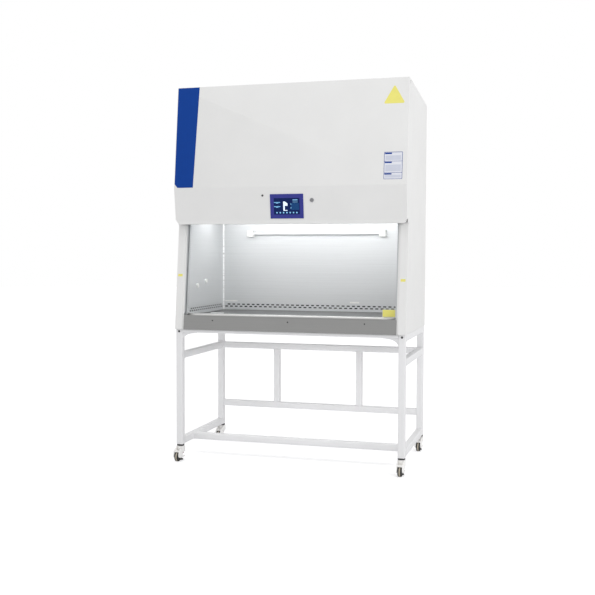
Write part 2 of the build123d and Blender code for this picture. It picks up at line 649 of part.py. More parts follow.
# ---------------------------------------------------------------- casters
def caster_housing():
    """Swivelling hood: cheeks beside the wheel, a deck over it, and the levelling screw's boss."""
    top = CASTER_TOP - 0.4
    side = [
        (-WHEEL_OFFSET - 24, 46), (-WHEEL_OFFSET - 16, 66), (-WHEEL_OFFSET + 6, 78), (-20, top - 6),
        (-20, top), (20, top), (20, 56), (14, 44), (-12, 44), (-28, 20), (-WHEEL_OFFSET - 10, 20)]
    hood = across(side, -21, 21)
    well = WHEEL_WIDTH / 2 + 2
    reach = WHEEL_R + 4
    front, back = -WHEEL_OFFSET - reach, reach - WHEEL_OFFSET
    arch = [(front, 0), (front, WHEEL_R + 8), (front + 22, WHEEL_R + reach), (back - 14, WHEEL_R + reach),
            (back, WHEEL_R + 12), (back, 0)]
    hood -= across(arch, -well, well)
    dial = DIAL_R + 1.5
    hood -= block((-dial, dial), (-dial, dial), (36, 50))
    hood -= rod((0, 0, 60), CASTER_STEM_R + RUNNING, 120, "Z")
    return hood + rod((0, -WHEEL_OFFSET, WHEEL_R), AXLE_R, 42, "X")


def caster_wheel():
    wheel = rod((0, -WHEEL_OFFSET, WHEEL_R), WHEEL_R, WHEEL_WIDTH, "X")
    return wheel - rod((0, -WHEEL_OFFSET, WHEEL_R), AXLE_R + RUNNING, 60, "X")


def levelling_foot():
    """Pad on a screw, with the dial that winds it down."""
    pad = extrude(RegularPolygon(PAD_R, 16), 8)
    screw = extrude(Pos(0, 0, 4) * RegularPolygon(CASTER_STEM_R, 12), 68)
    return pad + screw + extrude(Pos(0, 0, 38.5) * RegularPolygon(DIAL_R, 12), 9)


CORNERS = {"fl": (-1, POST_FRONT_Y), "fr": (1, POST_FRONT_Y), "rl": (-1, POST_REAR_Y), "rr": (1, POST_REAR_Y)}


# ---------------------------------------------------------------- writing the pieces
def all_parts():
    side, post, wall = side_panel(), pillar(), inner_wall()
    parts = {
        "side_panel_left": mirrored(side), "side_panel_right": side,
        "pillar_left": mirrored(post), "pillar_right": post,
        "inner_wall_left": [mirrored(piece) for piece in wall], "inner_wall_right": wall,
        "supply_filter": filter_unit(INNER_HALF - 1, -234, Y_INNER_REAR - 0.5, Z_FILTER, 18),
        "exhaust_filter": filter_unit(300, -100, 280, Z_PLENUM_TOP, 8),
        "socket_flap_front": socket_flap(SOCKET_YS[0]), "socket_flap_rear": socket_flap(SOCKET_YS[1]),
    }
    makers = [
        rear_panel, roof_panel, exhaust_collar, front_cover, screen_bezel, touch_screen, status_lens,
        key_switch, inner_wall_rear, base_pan, front_apron, armrest_sill, front_grille, work_tray,
        tray_ribs, sash_tracks, diffuser_screen, plenum_box, plenum_brackets,
        blower_housing, fan_impeller, blower_motor,
        uv_lamp_holders, uv_lamp_tube, work_light, socket_boxes, service_plugs, electrical_box,
        power_inlet, sash_glass, sash_handle, counterweights, sync_shaft, stand_posts,
        stand_top_frame, stand_mid_rails, stand_lower_rails, stand_fasteners]
    parts.update({make.__name__: make() for make in makers})
    for corner, (sx, y) in CORNERS.items():
        place = Pos(sx * POST_X, y, 0)
        parts["caster_housing_" + corner] = place * caster_housing()
        parts["caster_wheel_" + corner] = place * caster_wheel()
        parts["levelling_foot_" + corner] = place * levelling_foot()
    return parts


os.makedirs("parts", exist_ok=True)
for name, shape in all_parts().items():
    if isinstance(shape, (list, tuple)):
        shape = Compound(children=[s for item in shape for s in item.solids()])
    export_step(shape, f"parts/{name}.step")
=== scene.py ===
"""Looks for a floor-standing safety cabinet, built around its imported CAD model.

Metres, in the model's own frame: X to the operator's right, Y to the back, Z up, origin on the floor.
"""
import json
from math import atan2, cos, pi, radians, sin

import bpy
import numpy as np
from bpy.props import FloatProperty, FloatVectorProperty, IntProperty, PointerProperty
from mathutils import Matrix

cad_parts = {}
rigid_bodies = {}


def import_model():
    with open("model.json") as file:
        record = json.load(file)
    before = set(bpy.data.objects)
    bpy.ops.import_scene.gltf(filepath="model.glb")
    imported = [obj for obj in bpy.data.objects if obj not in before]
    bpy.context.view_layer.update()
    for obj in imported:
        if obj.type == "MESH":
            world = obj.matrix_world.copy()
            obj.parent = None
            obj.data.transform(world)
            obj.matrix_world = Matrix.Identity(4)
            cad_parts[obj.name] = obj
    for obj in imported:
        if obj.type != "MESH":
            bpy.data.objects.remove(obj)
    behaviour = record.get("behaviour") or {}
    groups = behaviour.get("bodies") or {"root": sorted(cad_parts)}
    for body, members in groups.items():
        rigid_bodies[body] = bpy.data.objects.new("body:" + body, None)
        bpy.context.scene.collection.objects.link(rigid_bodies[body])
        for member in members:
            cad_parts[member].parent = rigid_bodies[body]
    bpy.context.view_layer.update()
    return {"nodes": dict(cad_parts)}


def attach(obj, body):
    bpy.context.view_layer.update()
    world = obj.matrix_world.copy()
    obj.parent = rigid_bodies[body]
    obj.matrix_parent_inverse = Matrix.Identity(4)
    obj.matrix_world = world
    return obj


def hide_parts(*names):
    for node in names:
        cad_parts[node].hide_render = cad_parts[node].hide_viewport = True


bl_info = {
    "name": "Safety cabinet looks",
    "version": (1, 0, 0),
    "blender": (4, 5, 0),
    "location": "View3D > Sidebar > Cabinet",
    "description": "Dresses the packed safety cabinet with finishes, trim and a plain studio",
    "category": "Object",
}

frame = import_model()
nodes = frame["nodes"]
MM = 0.001
RIGHT, BACK, FRONT, UP = (1, 0, 0), (0, 1, 0), (0, -1, 0), (0, 0, 1)
CORNERS = ("fl", "fr", "rl", "rr")


def linear(red, green, blue):
    """Display values 0..255 turned into the renderer's linear values."""
    parts = np.array([red, green, blue]) / 255.0
    return tuple(np.where(parts <= 0.04045, parts / 12.92, ((parts + 0.055) / 1.055) ** 2.4).tolist())


# ---------------------------------------------------------------- settings
def shade(name, description, red, green, blue):
    return FloatVectorProperty(name=name, description=description, subtype="COLOR", size=3,
                               min=0.0, max=1.0, default=linear(red, green, blue))


def span(name, description, default):
    return FloatProperty(name=name, description=description, default=default,
                         unit="LENGTH", subtype="DISTANCE")


def watts(name, description, default):
    return FloatProperty(name=name, description=description, default=default, subtype="POWER")


class CabinetColours(bpy.types.PropertyGroup):
    casing: shade("Casing paint", "Powder coat of the casing and cover", 231, 231, 230)
    stand: shade("Stand paint", "Powder coat of the tubular stand", 236, 236, 237)
    chamber: shade("Chamber steel", "Brushed sheet of the chamber walls", 214, 216, 217)
    apron: shade("Apron steel", "Brushed sheet of the front skirt", 152, 152, 151)
    zinc: shade("Zinc sheet", "Galvanised sheet of plenum, blower casing and duct spigot", 176, 181, 184)
    band: shade("Band", "Plain band down the cover's left edge", 10, 62, 146)
    bezel: shade("Bezel", "Film on the touch screen's frame", 56, 60, 142)
    display: shade("Display", "Ground of the touch screen", 5, 26, 74)
    label: shade("Plain label", "Blank yellow labels", 236, 228, 120)
    caster: shade("Caster paint", "Enamel of the caster hoods", 250, 249, 247)
    tyre: shade("Tyre", "Nylon of the wheels", 34, 34, 33)
    dial: shade("Dial", "Moulded dial of the levelling feet", 96, 34, 28)


class CabinetSizes(bpy.types.PropertyGroup):
    sheet_edge: span("Sheet edge", "Rounding of folded sheet edges", 0.7 * MM)
    tube_corner: span("Tube corner", "Outside corner radius of the stand tubes", 3.5 * MM)
    bead: span("Weld bead", "Radius of the weld beads where tubes meet", 1.6 * MM)
    screw: span("Screw head", "Radius of the pan-head screws", 4.0 * MM)
    film: span("Film", "Thickness of bands and labels", 0.3 * MM)
    dial_ribs: IntProperty(name="Dial ribs", description="Grip ribs round a levelling dial",
                           default=24, min=8)


class CabinetView(bpy.types.PropertyGroup):
    position: FloatVectorProperty(name="Position", description="Where the camera stands", unit="LENGTH",
                                  subtype="TRANSLATION", default=(1.5164, -5.4530, 1.2510))
    yaw: FloatProperty(name="Yaw", description="Turn to the left of straight back", subtype="ANGLE",
                       default=radians(15.88))
    pitch: FloatProperty(name="Pitch", description="Tilt upwards", subtype="ANGLE", default=radians(-2.683))
    roll: FloatProperty(name="Roll", description="Turn about the line of sight", subtype="ANGLE",
                        default=radians(0.193))
    lens: FloatProperty(name="Lens", description="Focal length over frame width", default=914.1 / 595.0)
    ambient: FloatProperty(name="Ambient", description="Light from all round", default=0.85)
    key: watts("Key", "Power of the soft lamp on the right", 54.0)
    crown: watts("Crown", "Power of the soft lamp overhead", 11.0)
    stand: watts("Stand", "Power of the lamp low between the posts", 1.6)
    chamber: watts("Chamber", "Power of the lamp under the chamber's ceiling", 4.2)


# ---------------------------------------------------------------- shells: points and faces as arrays
def grid_faces(rows, columns):
    """Quads between neighbouring rings; each ring closes on itself."""
    row = np.arange(rows - 1)[:, None] * columns
    here = np.arange(columns)[None, :]
    after = (here + 1) % columns
    above = row + columns
    return np.stack([row + here, row + after, above + after, above + here], -1).reshape(-1, 4)


def outward(points, faces):
    """Turns the faces over where the volume under their fans comes out negative."""
    total = 0.0
    for face in faces:
        fan = points[np.asarray(face)]
        total += np.einsum("i,ki->", fan[0], np.cross(fan[1:-1], fan[2:]))
    return [list(reversed(face)) for face in faces] if total < 0 else faces


def loft(rings):
    """Skin through a stack of closed rings, shut by a flat cap at each end."""
    rings = np.asarray(rings, float)
    rows, columns = rings.shape[:2]
    faces = grid_faces(rows, columns).tolist()
    faces.append(list(range(columns))[::-1])
    faces.append(list(range((rows - 1) * columns, rows * columns)))
    points = rings.reshape(-1, 3)
    return points, outward(points, faces)


def hoop(rings):
    """Skin through rings that run on into the first one again, as in a pipe's wall or a closed bead."""
    rings = np.asarray(rings, float)
    rows, columns = rings.shape[:2]
    faces = grid_faces(rows + 1, columns)
    faces %= rows * columns
    points = rings.reshape(-1, 3)
    return points, outward(points, faces.tolist())


def together(shells):
    """Several closed shells stacked into one set of points and faces."""
    points, faces, start = [], [], 0
    for shell_points, shell_faces in shells:
        points.append(shell_points)
        faces += [[start + corner for corner in face] for face in shell_faces]
        start += len(shell_points)
    return np.vstack(points), faces


def lay(origin, out, along):
    """Axes at a point: the third column points out, the first along; the second completes them."""
    third = np.asarray(out, float) / np.linalg.norm(out)
    first = np.asarray(along, float) - third * np.dot(along, third)
    first /= np.linalg.norm(first)
    matrix = np.eye(4)
    matrix[:3, :3] = np.stack([first, np.cross(third, first), third], 1)
    matrix[:3, 3] = origin
    return matrix


def upright(x, y, z):
    """Axes at a point with the third straight up and the first to the right."""
    return lay((x, y, z), UP, RIGHT)


def put(matrix, points):
    return np.asarray(points, float) @ matrix[:3, :3].T + matrix[:3, 3]


def rounded(half_u, half_v, radius, steps=4):
    """Outline of a rectangle with round corners: the corner centres plus radius times (cos, sin)."""
    turn = (np.arange(4)[:, None] * (pi / 2) + np.linspace(0, pi / 2, steps + 1)[None, :])
    sign_u = np.array([1, -1, -1, 1])[:, None]
    sign_v = np.array([1, 1, -1, -1])[:, None]
    u = sign_u * (half_u - radius) + radius * np.cos(turn)
    v = sign_v * (half_v - radius) + radius * np.sin(turn)
    return np.stack([u, v], -1).reshape(-1, 2)


def raised(outline, height):
    """A flat outline lifted to one height."""
    return np.column_stack([outline, np.full(len(outline), height)])


def plate(matrix, half_u, half_v, radius, height, ease=0.0):
    """Rounded plate standing on its place, whose eased edge is a quarter round.

    At angle t its outline is inset by ease (1 - cos t), at height - ease (1 - sin t).
    """
    rings = [raised(rounded(half_u, half_v, radius), 0.0)]
    if ease:
        for turn in np.linspace(0, pi / 2, 4):
            inset = ease * (1 - cos(turn))
            corner = max(radius - inset, radius * 0.2)
            level = height - ease * (1 - sin(turn))
            rings.append(raised(rounded(half_u - inset, half_v - inset, corner), level))
    else:
        rings.append(raised(rounded(half_u, half_v, radius), height))
    return loft([put(matrix, ring) for ring in rings])


def turned(matrix, profile, sides=48):
    """Surface of revolution: at angle t the profile's (radius, height) stands at (r cos t, r sin t, h)."""
    profile = np.asarray(profile, float)
    turn = np.arange(sides) * (2 * pi / sides)
    rings = np.stack([profile[:, :1] * np.cos(turn), profile[:, :1] * np.sin(turn),
                      np.repeat(profile[:, 1:], sides, 1)], -1)
    return loft(put(matrix, rings.reshape(-1, 3)).reshape(rings.shape))


def dome(radius, height, steps=5):
    """Profile of a low dome: radius cos t, height sin t, from the rim nearly to the pole."""
    turn = np.linspace(0, 0.47 * pi, steps)
    return np.stack([radius * np.cos(turn), height * np.sin(turn)], 1)


def pipe(matrix, half, radius, wall, length):
    """Square tube: the rounded outline run up its length, back down the bore and shut at both ends."""
    outside = rounded(half, half, radius)
    bore = rounded(half - wall, half - wall, max(radius - wall, 0.4 * MM))
    rings = [raised(outside, 0.0), raised(outside, length), raised(bore, length), raised(bore, 0.0)]
    return hoop([put(matrix, ring) for ring in rings])


def bead(matrix, half_u, half_v, corner, radius, sides=6):
    """Weld bead round a rounded rectangle: a circle of that radius carried along the outline."""
    line = rounded(half_u, half_v, corner, 3)
    ahead = np.roll(line, -1, 0) - np.roll(line, 1, 0)
    ahead /= np.linalg.norm(ahead, axis=1)[:, None]
    side = np.stack([ahead[:, 1], -ahead[:, 0]], 1)
    turn = np.arange(sides) * (2 * pi / sides)
    flat = line[:, None, :] + radius * np.cos(turn)[None, :, None] * side[:, None, :]
    rise = np.broadcast_to(radius * np.sin(turn)[None, :, None], flat.shape[:2] + (1,))
    rings = np.concatenate([flat, rise], -1)
    return hoop(put(matrix, rings.reshape(-1, 3)).reshape(rings.shape))


def object_from(name, shells, material, body, smooth=True):
    """Makes one object from closed shells, gives it its finish and lets it ride on its body."""
    points, faces = together(shells)
    mesh = bpy.data.meshes.new(name)
    mesh.from_pydata(points.tolist(), [], faces)
    mesh.validate()
    if smooth:
        mesh.shade_smooth()
        mesh.set_sharp_from_angle(angle=radians(32))
    mesh.materials.append(material)
    piece = bpy.data.objects.new(name, mesh)
    bpy.context.scene.collection.objects.link(piece)
    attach(piece, body)
    return piece


# ---------------------------------------------------------------- finishes
finishes = {}


class Recipe:
    """A material's node tree, with short calls for the nodes that the finishes share."""

    def __init__(self, name):
        self.material = bpy.data.materials.new(name)
        self.material.use_nodes = True
        self.tree = self.material.node_tree
        self.shader = self.tree.nodes["Principled BSDF"]
        self.coords = self.add("ShaderNodeTexCoord").outputs["Object"]
        finishes[name] = self.material

    def add(self, kind, **values):
        node = self.tree.nodes.new(kind)
        for key, value in values.items():
            setattr(node, key, value)
        return node

    def link(self, source, target):
        self.tree.links.new(source, target)

    def set(self, **values):
        for key, value in values.items():
            socket = self.shader.inputs[key.replace("_", " ")]
            socket.default_value = value

    def stretched(self, scale):
        """Object coordinates scaled apart along the axes, for a grain."""
        mapping = self.add("ShaderNodeMapping")
        mapping.inputs["Scale"].default_value = scale
        self.link(self.coords, mapping.inputs["Vector"])
        return mapping.outputs["Vector"]

    def noise(self, scale, detail=3.0, vector=None, roughness=0.5):
        node = self.add("ShaderNodeTexNoise")
        node.inputs["Scale"].default_value = scale
        node.inputs["Detail"].default_value = detail
        node.inputs["Roughness"].default_value = roughness
        self.link(vector or self.coords, node.inputs["Vector"])
        return node.outputs["Fac"]

    def between(self, factor, low, high):
        """A value that runs from low to high over the middle of a noise."""
        node = self.add("ShaderNodeMapRange")
        node.inputs["From Min"].default_value = 0.3
        node.inputs["From Max"].default_value = 0.7
        node.inputs["To Min"].default_value = low
        node.inputs["To Max"].default_value = high
        self.link(factor, node.inputs["Value"])
        return node.outputs["Result"]

    def tones(self, factor, first, second):
        """Two colours mixed by a factor."""
        node = self.add("ShaderNodeMix", data_type="RGBA")
        node.inputs["A"].default_value = (*first, 1.0)
        node.inputs["B"].default_value = (*second, 1.0)
        self.link(factor, node.inputs["Factor"])
        return node.outputs["Result"]

    def mottled(self, pattern, colour, low, high):
        """The colour scaled from low to high by a noise."""
        return self.tones(self.between(pattern, 0.0, 1.0), scaled(colour, low), scaled(colour, high))

    def relief(self, height, strength, distance):
        node = self.add("ShaderNodeBump")
        node.inputs["Strength"].default_value = strength
        node.inputs["Distance"].default_value = distance
        self.link(height, node.inputs["Height"])
        return node.outputs["Normal"]

    def finish(self, colour, roughness, normal):
        self.link(colour, self.shader.inputs["Base Color"])
        self.link(roughness, self.shader.inputs["Roughness"])
        self.link(normal, self.shader.inputs["Normal"])
        return self.material


def scaled(colour, factor):
    return tuple(min(1.0, channel * factor) for channel in colour)


def painted(name, colour, roughness=0.50, spread=0.018, peel=700.0):
    """Powder coat: fine orange-peel relief, a faint unevenness of tone and of gloss."""
    recipe = Recipe(name)
    recipe.set(Coat_Weight=0.05, Coat_Roughness=0.35)
    tone = recipe.mottled(recipe.noise(4.0, 4.0), colour, 1 - spread, 1 + spread)
    gloss = recipe.between(recipe.noise(26.0, 5.0), roughness - 0.05, roughness + 0.05)
    skin = recipe.relief(recipe.noise(peel, 2.0), 0.12, 0.0002)
    return recipe.finish(tone, gloss, skin)


def brushed(name, colour, roughness=0.34, grain=(2.0, 2.0, 620.0), spread=0.05, metal=1.0):
    """Brushed sheet: long streaks in tone, gloss and relief, with a few soft smears across them."""
    recipe = Recipe(name)
    recipe.set(Metallic=metal)
    streaks = recipe.noise(1.0, 4.0, recipe.stretched(grain), 0.65)
    smears = recipe.noise(5.0, 3.0)
    tone = recipe.mottled(streaks, colour, 1 - spread, 1 + spread)
    gloss = recipe.add("ShaderNodeMath", operation="ADD")
    recipe.link(recipe.between(streaks, roughness - 0.06, roughness + 0.06), gloss.inputs[0])
    recipe.link(recipe.between(smears, -0.02, 0.04), gloss.inputs[1])
    return recipe.finish(tone, gloss.outputs["Value"], recipe.relief(streaks, 0.10, 0.0001))


def galvanised(name, colour):
    """Zinc coat: large angular spangles that differ a little in tone and gloss."""
    recipe = Recipe(name)
    recipe.set(Metallic=1.0)
    spangle = recipe.add("ShaderNodeTexVoronoi")
    spangle.inputs["Scale"].default_value = 70.0
    recipe.link(recipe.coords, spangle.inputs["Vector"])
    split = recipe.add("ShaderNodeSeparateColor")
    recipe.link(spangle.outputs["Color"], split.inputs["Color"])
    tone = recipe.tones(split.outputs["Red"], scaled(colour, 0.90), scaled(colour, 1.06))
    gloss = recipe.between(split.outputs["Green"], 0.36, 0.52)
    return recipe.finish(tone, gloss, recipe.relief(recipe.noise(220.0, 3.0), 0.08, 0.0002))


def moulded(name, colour, roughness=0.35, spread=0.03, grain=1400.0, depth=0.06, **extra):
    """Moulded plastic: a fine eroded texture and a faint drift of tone."""
    recipe = Recipe(name)
    recipe.set(**extra)
    tone = recipe.mottled(recipe.noise(30.0, 4.0), colour, 1 - spread, 1 + spread)
    gloss = recipe.between(recipe.noise(120.0, 3.0), roughness - 0.05, roughness + 0.05)
    return recipe.finish(tone, gloss, recipe.relief(recipe.noise(grain, 2.0), depth, 0.0001))


def glazed(name, colour):
    """Clear laminated glass, with the faintest ripple and a few dusty patches in its gloss."""
    recipe = Recipe(name)
    recipe.set(Transmission_Weight=1.0, IOR=1.5)
    tone = recipe.mottled(recipe.noise(3.0, 2.0), colour, 0.99, 1.0)
    gloss = recipe.between(recipe.noise(14.0, 5.0), 0.01, 0.06)
    return recipe.finish(tone, gloss, recipe.relief(recipe.noise(8.0, 1.0), 0.02, 0.0005))


def glowing(name, colour, strength, roughness=0.3, **extra):
    """A lit surface: the colour also shines, a little unevenly."""
    recipe = Recipe(name)
    recipe.set(**extra)
    tone = recipe.mottled(recipe.noise(18.0, 3.0), colour, 0.93, 1.05)
    recipe.link(tone, recipe.shader.inputs["Emission Color"])
    recipe.set(Emission_Strength=strength)
    gloss = recipe.between(recipe.noise(90.0, 3.0), roughness - 0.05, roughness + 0.05)
    return recipe.finish(tone, gloss, recipe.relief(recipe.noise(600.0, 2.0), 0.03, 0.0001))


def mix_finishes(colours):
    casing, stand = tuple(colours.casing), tuple(colours.stand)
    painted("casing_coat", casing)
    painted("stand_coat", stand, 0.46, 0.014, 520.0)
    brushed("wall_steel", tuple(colours.chamber), 0.42, metal=0.45)
    brushed("deck_steel", linear(127, 127, 127), 0.42, (2.0, 620.0, 2.0))
    # painted highlight: paler, glossier steel than the walls, so the coved rear corners show a bright line; the
    # tray grip uses the same steel
    brushed("cove_highlight_steel", linear(246, 247, 247), 0.30, (2.0, 2.0, 620.0), 0.02, 0.4)
    brushed("apron_steel", tuple(colours.apron), 0.46, (3.0, 3.0, 420.0), 0.06)
    brushed("sill_steel", linear(206, 206, 204), 0.34, (2.0, 500.0, 500.0), 0.04)
    brushed("track_alloy", linear(186, 188, 190), 0.40, (500.0, 500.0, 3.0), 0.04)
    brushed("filter_alloy", linear(222, 224, 226), 0.45, (3.0, 300.0, 300.0), 0.04)
    brushed("shaft_steel", linear(190, 190, 192), 0.28, (4.0, 900.0, 900.0), 0.04)
    brushed("impeller_alloy", linear(200, 202, 204), 0.38, (300.0, 300.0, 300.0), 0.04)
    galvanised("zinc_coat", tuple(colours.zinc))
    painted("weight_primer", linear(96, 97, 100), 0.55, 0.05, 300.0)
    painted("motor_enamel", linear(84, 88, 96), 0.40, 0.04, 320.0)
    painted("black_finish", linear(42, 42, 43), 0.40, 0.05, 500.0)
    painted("caster_enamel", tuple(colours.caster), 0.30, 0.02, 420.0)
    glazed("sash_laminate", linear(232, 246, 240))
    moulded("lamp_tube_glass", linear(240, 241, 243), 0.12, 0.02, 300.0, 0.02, Coat_Weight=0.6)
    moulded("white_moulding", linear(240, 240, 238), 0.28)
    moulded("black_moulding", linear(38, 38, 40), 0.45)
    moulded("bezel_film", tuple(colours.bezel), 0.45, 0.05, 900.0, 0.03, Specular_IOR_Level=0.2)
    moulded("smoked_lens", linear(74, 74, 78), 0.15, 0.05, 300.0, 0.02, Coat_Weight=0.8)
    moulded("tyre_nylon", tuple(colours.tyre), 0.48, 0.12, 500.0, 0.15)
    moulded("tread_nylon", linear(176, 168, 152), 0.50, 0.08, 500.0, 0.15)
    moulded("dial_moulding", tuple(colours.dial), 0.42, 0.08, 400.0, 0.10)
    moulded("rubber", linear(104, 104, 102), 0.75, 0.10, 260.0, 0.25)
    moulded("band_film", tuple(colours.band), 0.50, 0.025, 900.0, 0.03, Specular_IOR_Level=0.12)
    moulded("label_film", tuple(colours.label), 0.40, 0.03, 700.0, 0.03)
    moulded("white_film", linear(226, 228, 236), 0.40, 0.02, 700.0, 0.03)
    moulded("grey_film", linear(204, 208, 222), 0.40, 0.02, 700.0, 0.03)
    # painted shade: a near-black sheet, seen only through the air slots, standing in for the shadow inside the
    # plenum behind them
    moulded("painted_slot_shade", linear(46, 46, 48), 0.85, 0.10, 240.0, 0.10)
    moulded("gap_shadow", linear(70, 70, 72), 0.70, 0.10, 300.0, 0.05)
    brushed("bright_chrome", linear(150, 150, 152), 0.22, (300.0, 300.0, 300.0), 0.02)
    glowing("lamp_lens", linear(250, 251, 255), 7.0)
    glowing("display_ground", tuple(colours.display), 0.45, 0.25, Specular_IOR_Level=0.15)
    glowing("display_panel", linear(18, 58, 104), 0.5, 0.25, Specular_IOR_Level=0.15)
    glowing("display_mark", linear(118, 172, 210), 0.6, 0.25, Specular_IOR_Level=0.15)
    glowing("display_white", linear(214, 228, 240), 0.55, 0.25, Specular_IOR_Level=0.15)


NODE_FINISH = {
    "casing_coat": ("side_panel_left", "side_panel_right", "rear_panel", "roof_panel", "pillar_left",
                    "pillar_right", "front_cover", "electrical_box"),
    "stand_coat": ("stand_posts", "stand_top_frame", "stand_mid_rails", "stand_lower_rails"),
    "wall_steel": ("inner_wall_left", "inner_wall_right", "inner_wall_rear"),
    "deck_steel": ("diffuser_screen", "work_tray", "tray_ribs", "front_grille", "base_pan"),
    "apron_steel": ("front_apron",),
    "sill_steel": ("armrest_sill",),
    "zinc_coat": ("plenum_box", "plenum_brackets", "blower_housing", "exhaust_collar"),
    "track_alloy": ("sash_tracks", "sash_handle"),
    "filter_alloy": ("supply_filter", "exhaust_filter"),
    "weight_primer": ("counterweights",),
    "shaft_steel": ("sync_shaft",),
    "motor_enamel": ("blower_motor",),
    "impeller_alloy": ("fan_impeller",),
    "sash_laminate": ("sash_glass",),
    "lamp_tube_glass": ("uv_lamp_tube",),
    "white_moulding": ("uv_lamp_holders", "socket_boxes", "service_plugs", "socket_flap_front",
                       "socket_flap_rear"),
    "lamp_lens": ("work_light",),
    "black_moulding": ("power_inlet",),
    "bezel_film": ("screen_bezel",),
    "display_ground": ("touch_screen",),
    "smoked_lens": ("status_lens",),
    "bright_chrome": ("key_switch",),
    "black_finish": ("stand_fasteners",),
    "caster_enamel": tuple("caster_housing_" + corner for corner in CORNERS),
    "tyre_nylon": tuple("caster_wheel_" + corner for corner in CORNERS),
    "rubber": tuple("levelling_foot_" + corner for corner in CORNERS),
}
EASED = {
    "front_cover": 1.0, "side_panel_left": 1.0, "side_panel_right": 1.0, "rear_panel": 1.0, "roof_panel": 1.0,
    "pillar_left": 1.0, "pillar_right": 1.0, "front_apron": 1.0, "screen_bezel": 1.6, "electrical_box": 1.0,
    "socket_boxes": 1.6, "socket_flap_front": 1.4, "socket_flap_rear": 1.4, "uv_lamp_holders": 2.0,
    "counterweights": 3.0, "sash_handle": 0.9, "tray_ribs": 3.0, "power_inlet": 0.8,
}


def ease_edges(piece, width):
    """Rounds the edges of a node: its loose triangles are welded in a modifier, then bevelled."""
    weld = piece.modifiers.new("weld", "WELD")
    weld.merge_threshold = 0.00001
    bevel = piece.modifiers.new("ease", "BEVEL")
    bevel.width = width
    bevel.segments = 3
    bevel.limit_method = "ANGLE"
    bevel.angle_limit = radians(30)


# ---------------------------------------------------------------- where things sit
COVER_LOW = (-345 * MM, 1450 * MM)     # (y, z) where the cover's control panel begins
COVER_BEND = (-370 * MM, 1645 * MM)
COVER_TOP = (-303 * MM, 2250 * MM)
PILLAR_FOOT = (-364.5 * MM, 800 * MM)
PILLAR_SLOPE = 70.0 / 630.0
PANEL_LEAN = 0.9918                    # height gained for each step up the leaning control panel
SCREEN_UP = 82 * MM                    # along the control panel, from its lower edge to the screen's middle
KEY_PLACE = (151 * MM, 116 * MM)       # right of the cover's middle, and up the control panel
CARD_PLACE = (0.621, 1.752)            # (x, z) of the plain card's middle
INNER_HALF = 635 * MM
INNER_REAR = 295 * MM
COVE_SPAN = (0.8855, 1.5095)
SLOT_HEIGHT = 0.913                    # between the two rows of air slots
DECK = 885 * MM
REAR_FACE = 405 * MM
REAR_SCREW_X = 0.66
REAR_SCREW_ENDS = (0.84, 2.17)
REAR_SCREW_HEIGHTS = (1.17, 1.50, 1.83)
SPIGOT_Y, SPIGOT_FLANGE = 75 * MM, 2185 * MM
SPIGOT_BOLT = 103.24                   # mm to each side, on a bolt circle of 292 mm
POST_X, POST_FRONT, POST_REAR = 678 * MM, -331 * MM, 375 * MM
TUBE_HALF, TUBE_WALL = 20 * MM, 2 * MM
POST_LOW, STAND_TOP = 98 * MM, 800 * MM
TOP_RAIL, MIDDLE_RAIL, REAR_LOW_RAIL, LOW_RAIL = 780 * MM, 640 * MM, 246 * MM, 118 * MM
STRUT_X, CROSSBAR_Y = 280 * MM, -153 * MM
BOLT_HEIGHT, COLLAR_LOW, STEM_LOW = 786 * MM, 88.6 * MM, 84 * MM
AXLE_TRAIL, AXLE_HEIGHT = 46 * MM, 28 * MM
POSTS = {"fl": (-POST_X, POST_FRONT), "fr": (POST_X, POST_FRONT),
         "rl": (-POST_X, POST_REAR), "rr": (POST_X, POST_REAR)}


def on_cover(x, z):
    """Place on the cover's face, its third axis pointing out."""
    low, high = (COVER_LOW, COVER_BEND) if z < COVER_BEND[1] else (COVER_BEND, COVER_TOP)
    run = np.array([0.0, high[0] - low[0], high[1] - low[1]])
    y = low[0] + (z - low[1]) * run[1] / run[2]
    return lay((x, y, z), (0.0, -run[2], run[1]), RIGHT)


def on_pillar(x, z, depth=0.0):
    """Place on the sloped plane of the pillar faces, depth behind it."""
    y = PILLAR_FOOT[0] + (z - PILLAR_FOOT[1]) * PILLAR_SLOPE + depth
    return lay((x, y, z), (0.0, -1.0, PILLAR_SLOPE), RIGHT)


def cover_films(outline, thickness):
    """Flat film on the cover above its bend: the (x, z) outline on the face, and again further out.

    The face leans back evenly, so y is the bend's y plus the slope times the height over the bend.
    """
    outline = np.asarray(outline, float)
    rise, run = COVER_TOP[1] - COVER_BEND[1], COVER_TOP[0] - COVER_BEND[0]
    y = COVER_BEND[0] + (outline[:, 1] - COVER_BEND[1]) * run / rise
    face = np.column_stack([outline[:, 0], y, outline[:, 1]])
    out = np.array([0.0, -rise, run]) / np.hypot(rise, run)
    return loft([face, face + thickness * out])


def shifted(matrix, u=0.0, v=0.0, w=0.0):
    moved = matrix.copy()
    moved[:3, 3] = put(matrix, [(u, v, w)])[0]
    return moved


def screw_head(matrix, radius):
    """Pan-head screw: a low dome, half its radius high, on a short rim."""
    rim = 0.35 * radius
    profile = np.vstack([[(radius, 0.0)], dome(radius, 0.5 * radius) + (0.0, rim)])
    return turned(matrix, profile, 20)


def flush_screw(matrix, radius):
    """Countersunk screw: a disc that stands a hair proud, with an eased rim and a shallow middle dimple."""
    return turned(matrix, [(radius, 0.0), (0.96 * radius, 0.25 * MM), (0.45 * radius, 0.30 * MM),
                           (0.30 * radius, 0.10 * MM)], 20)


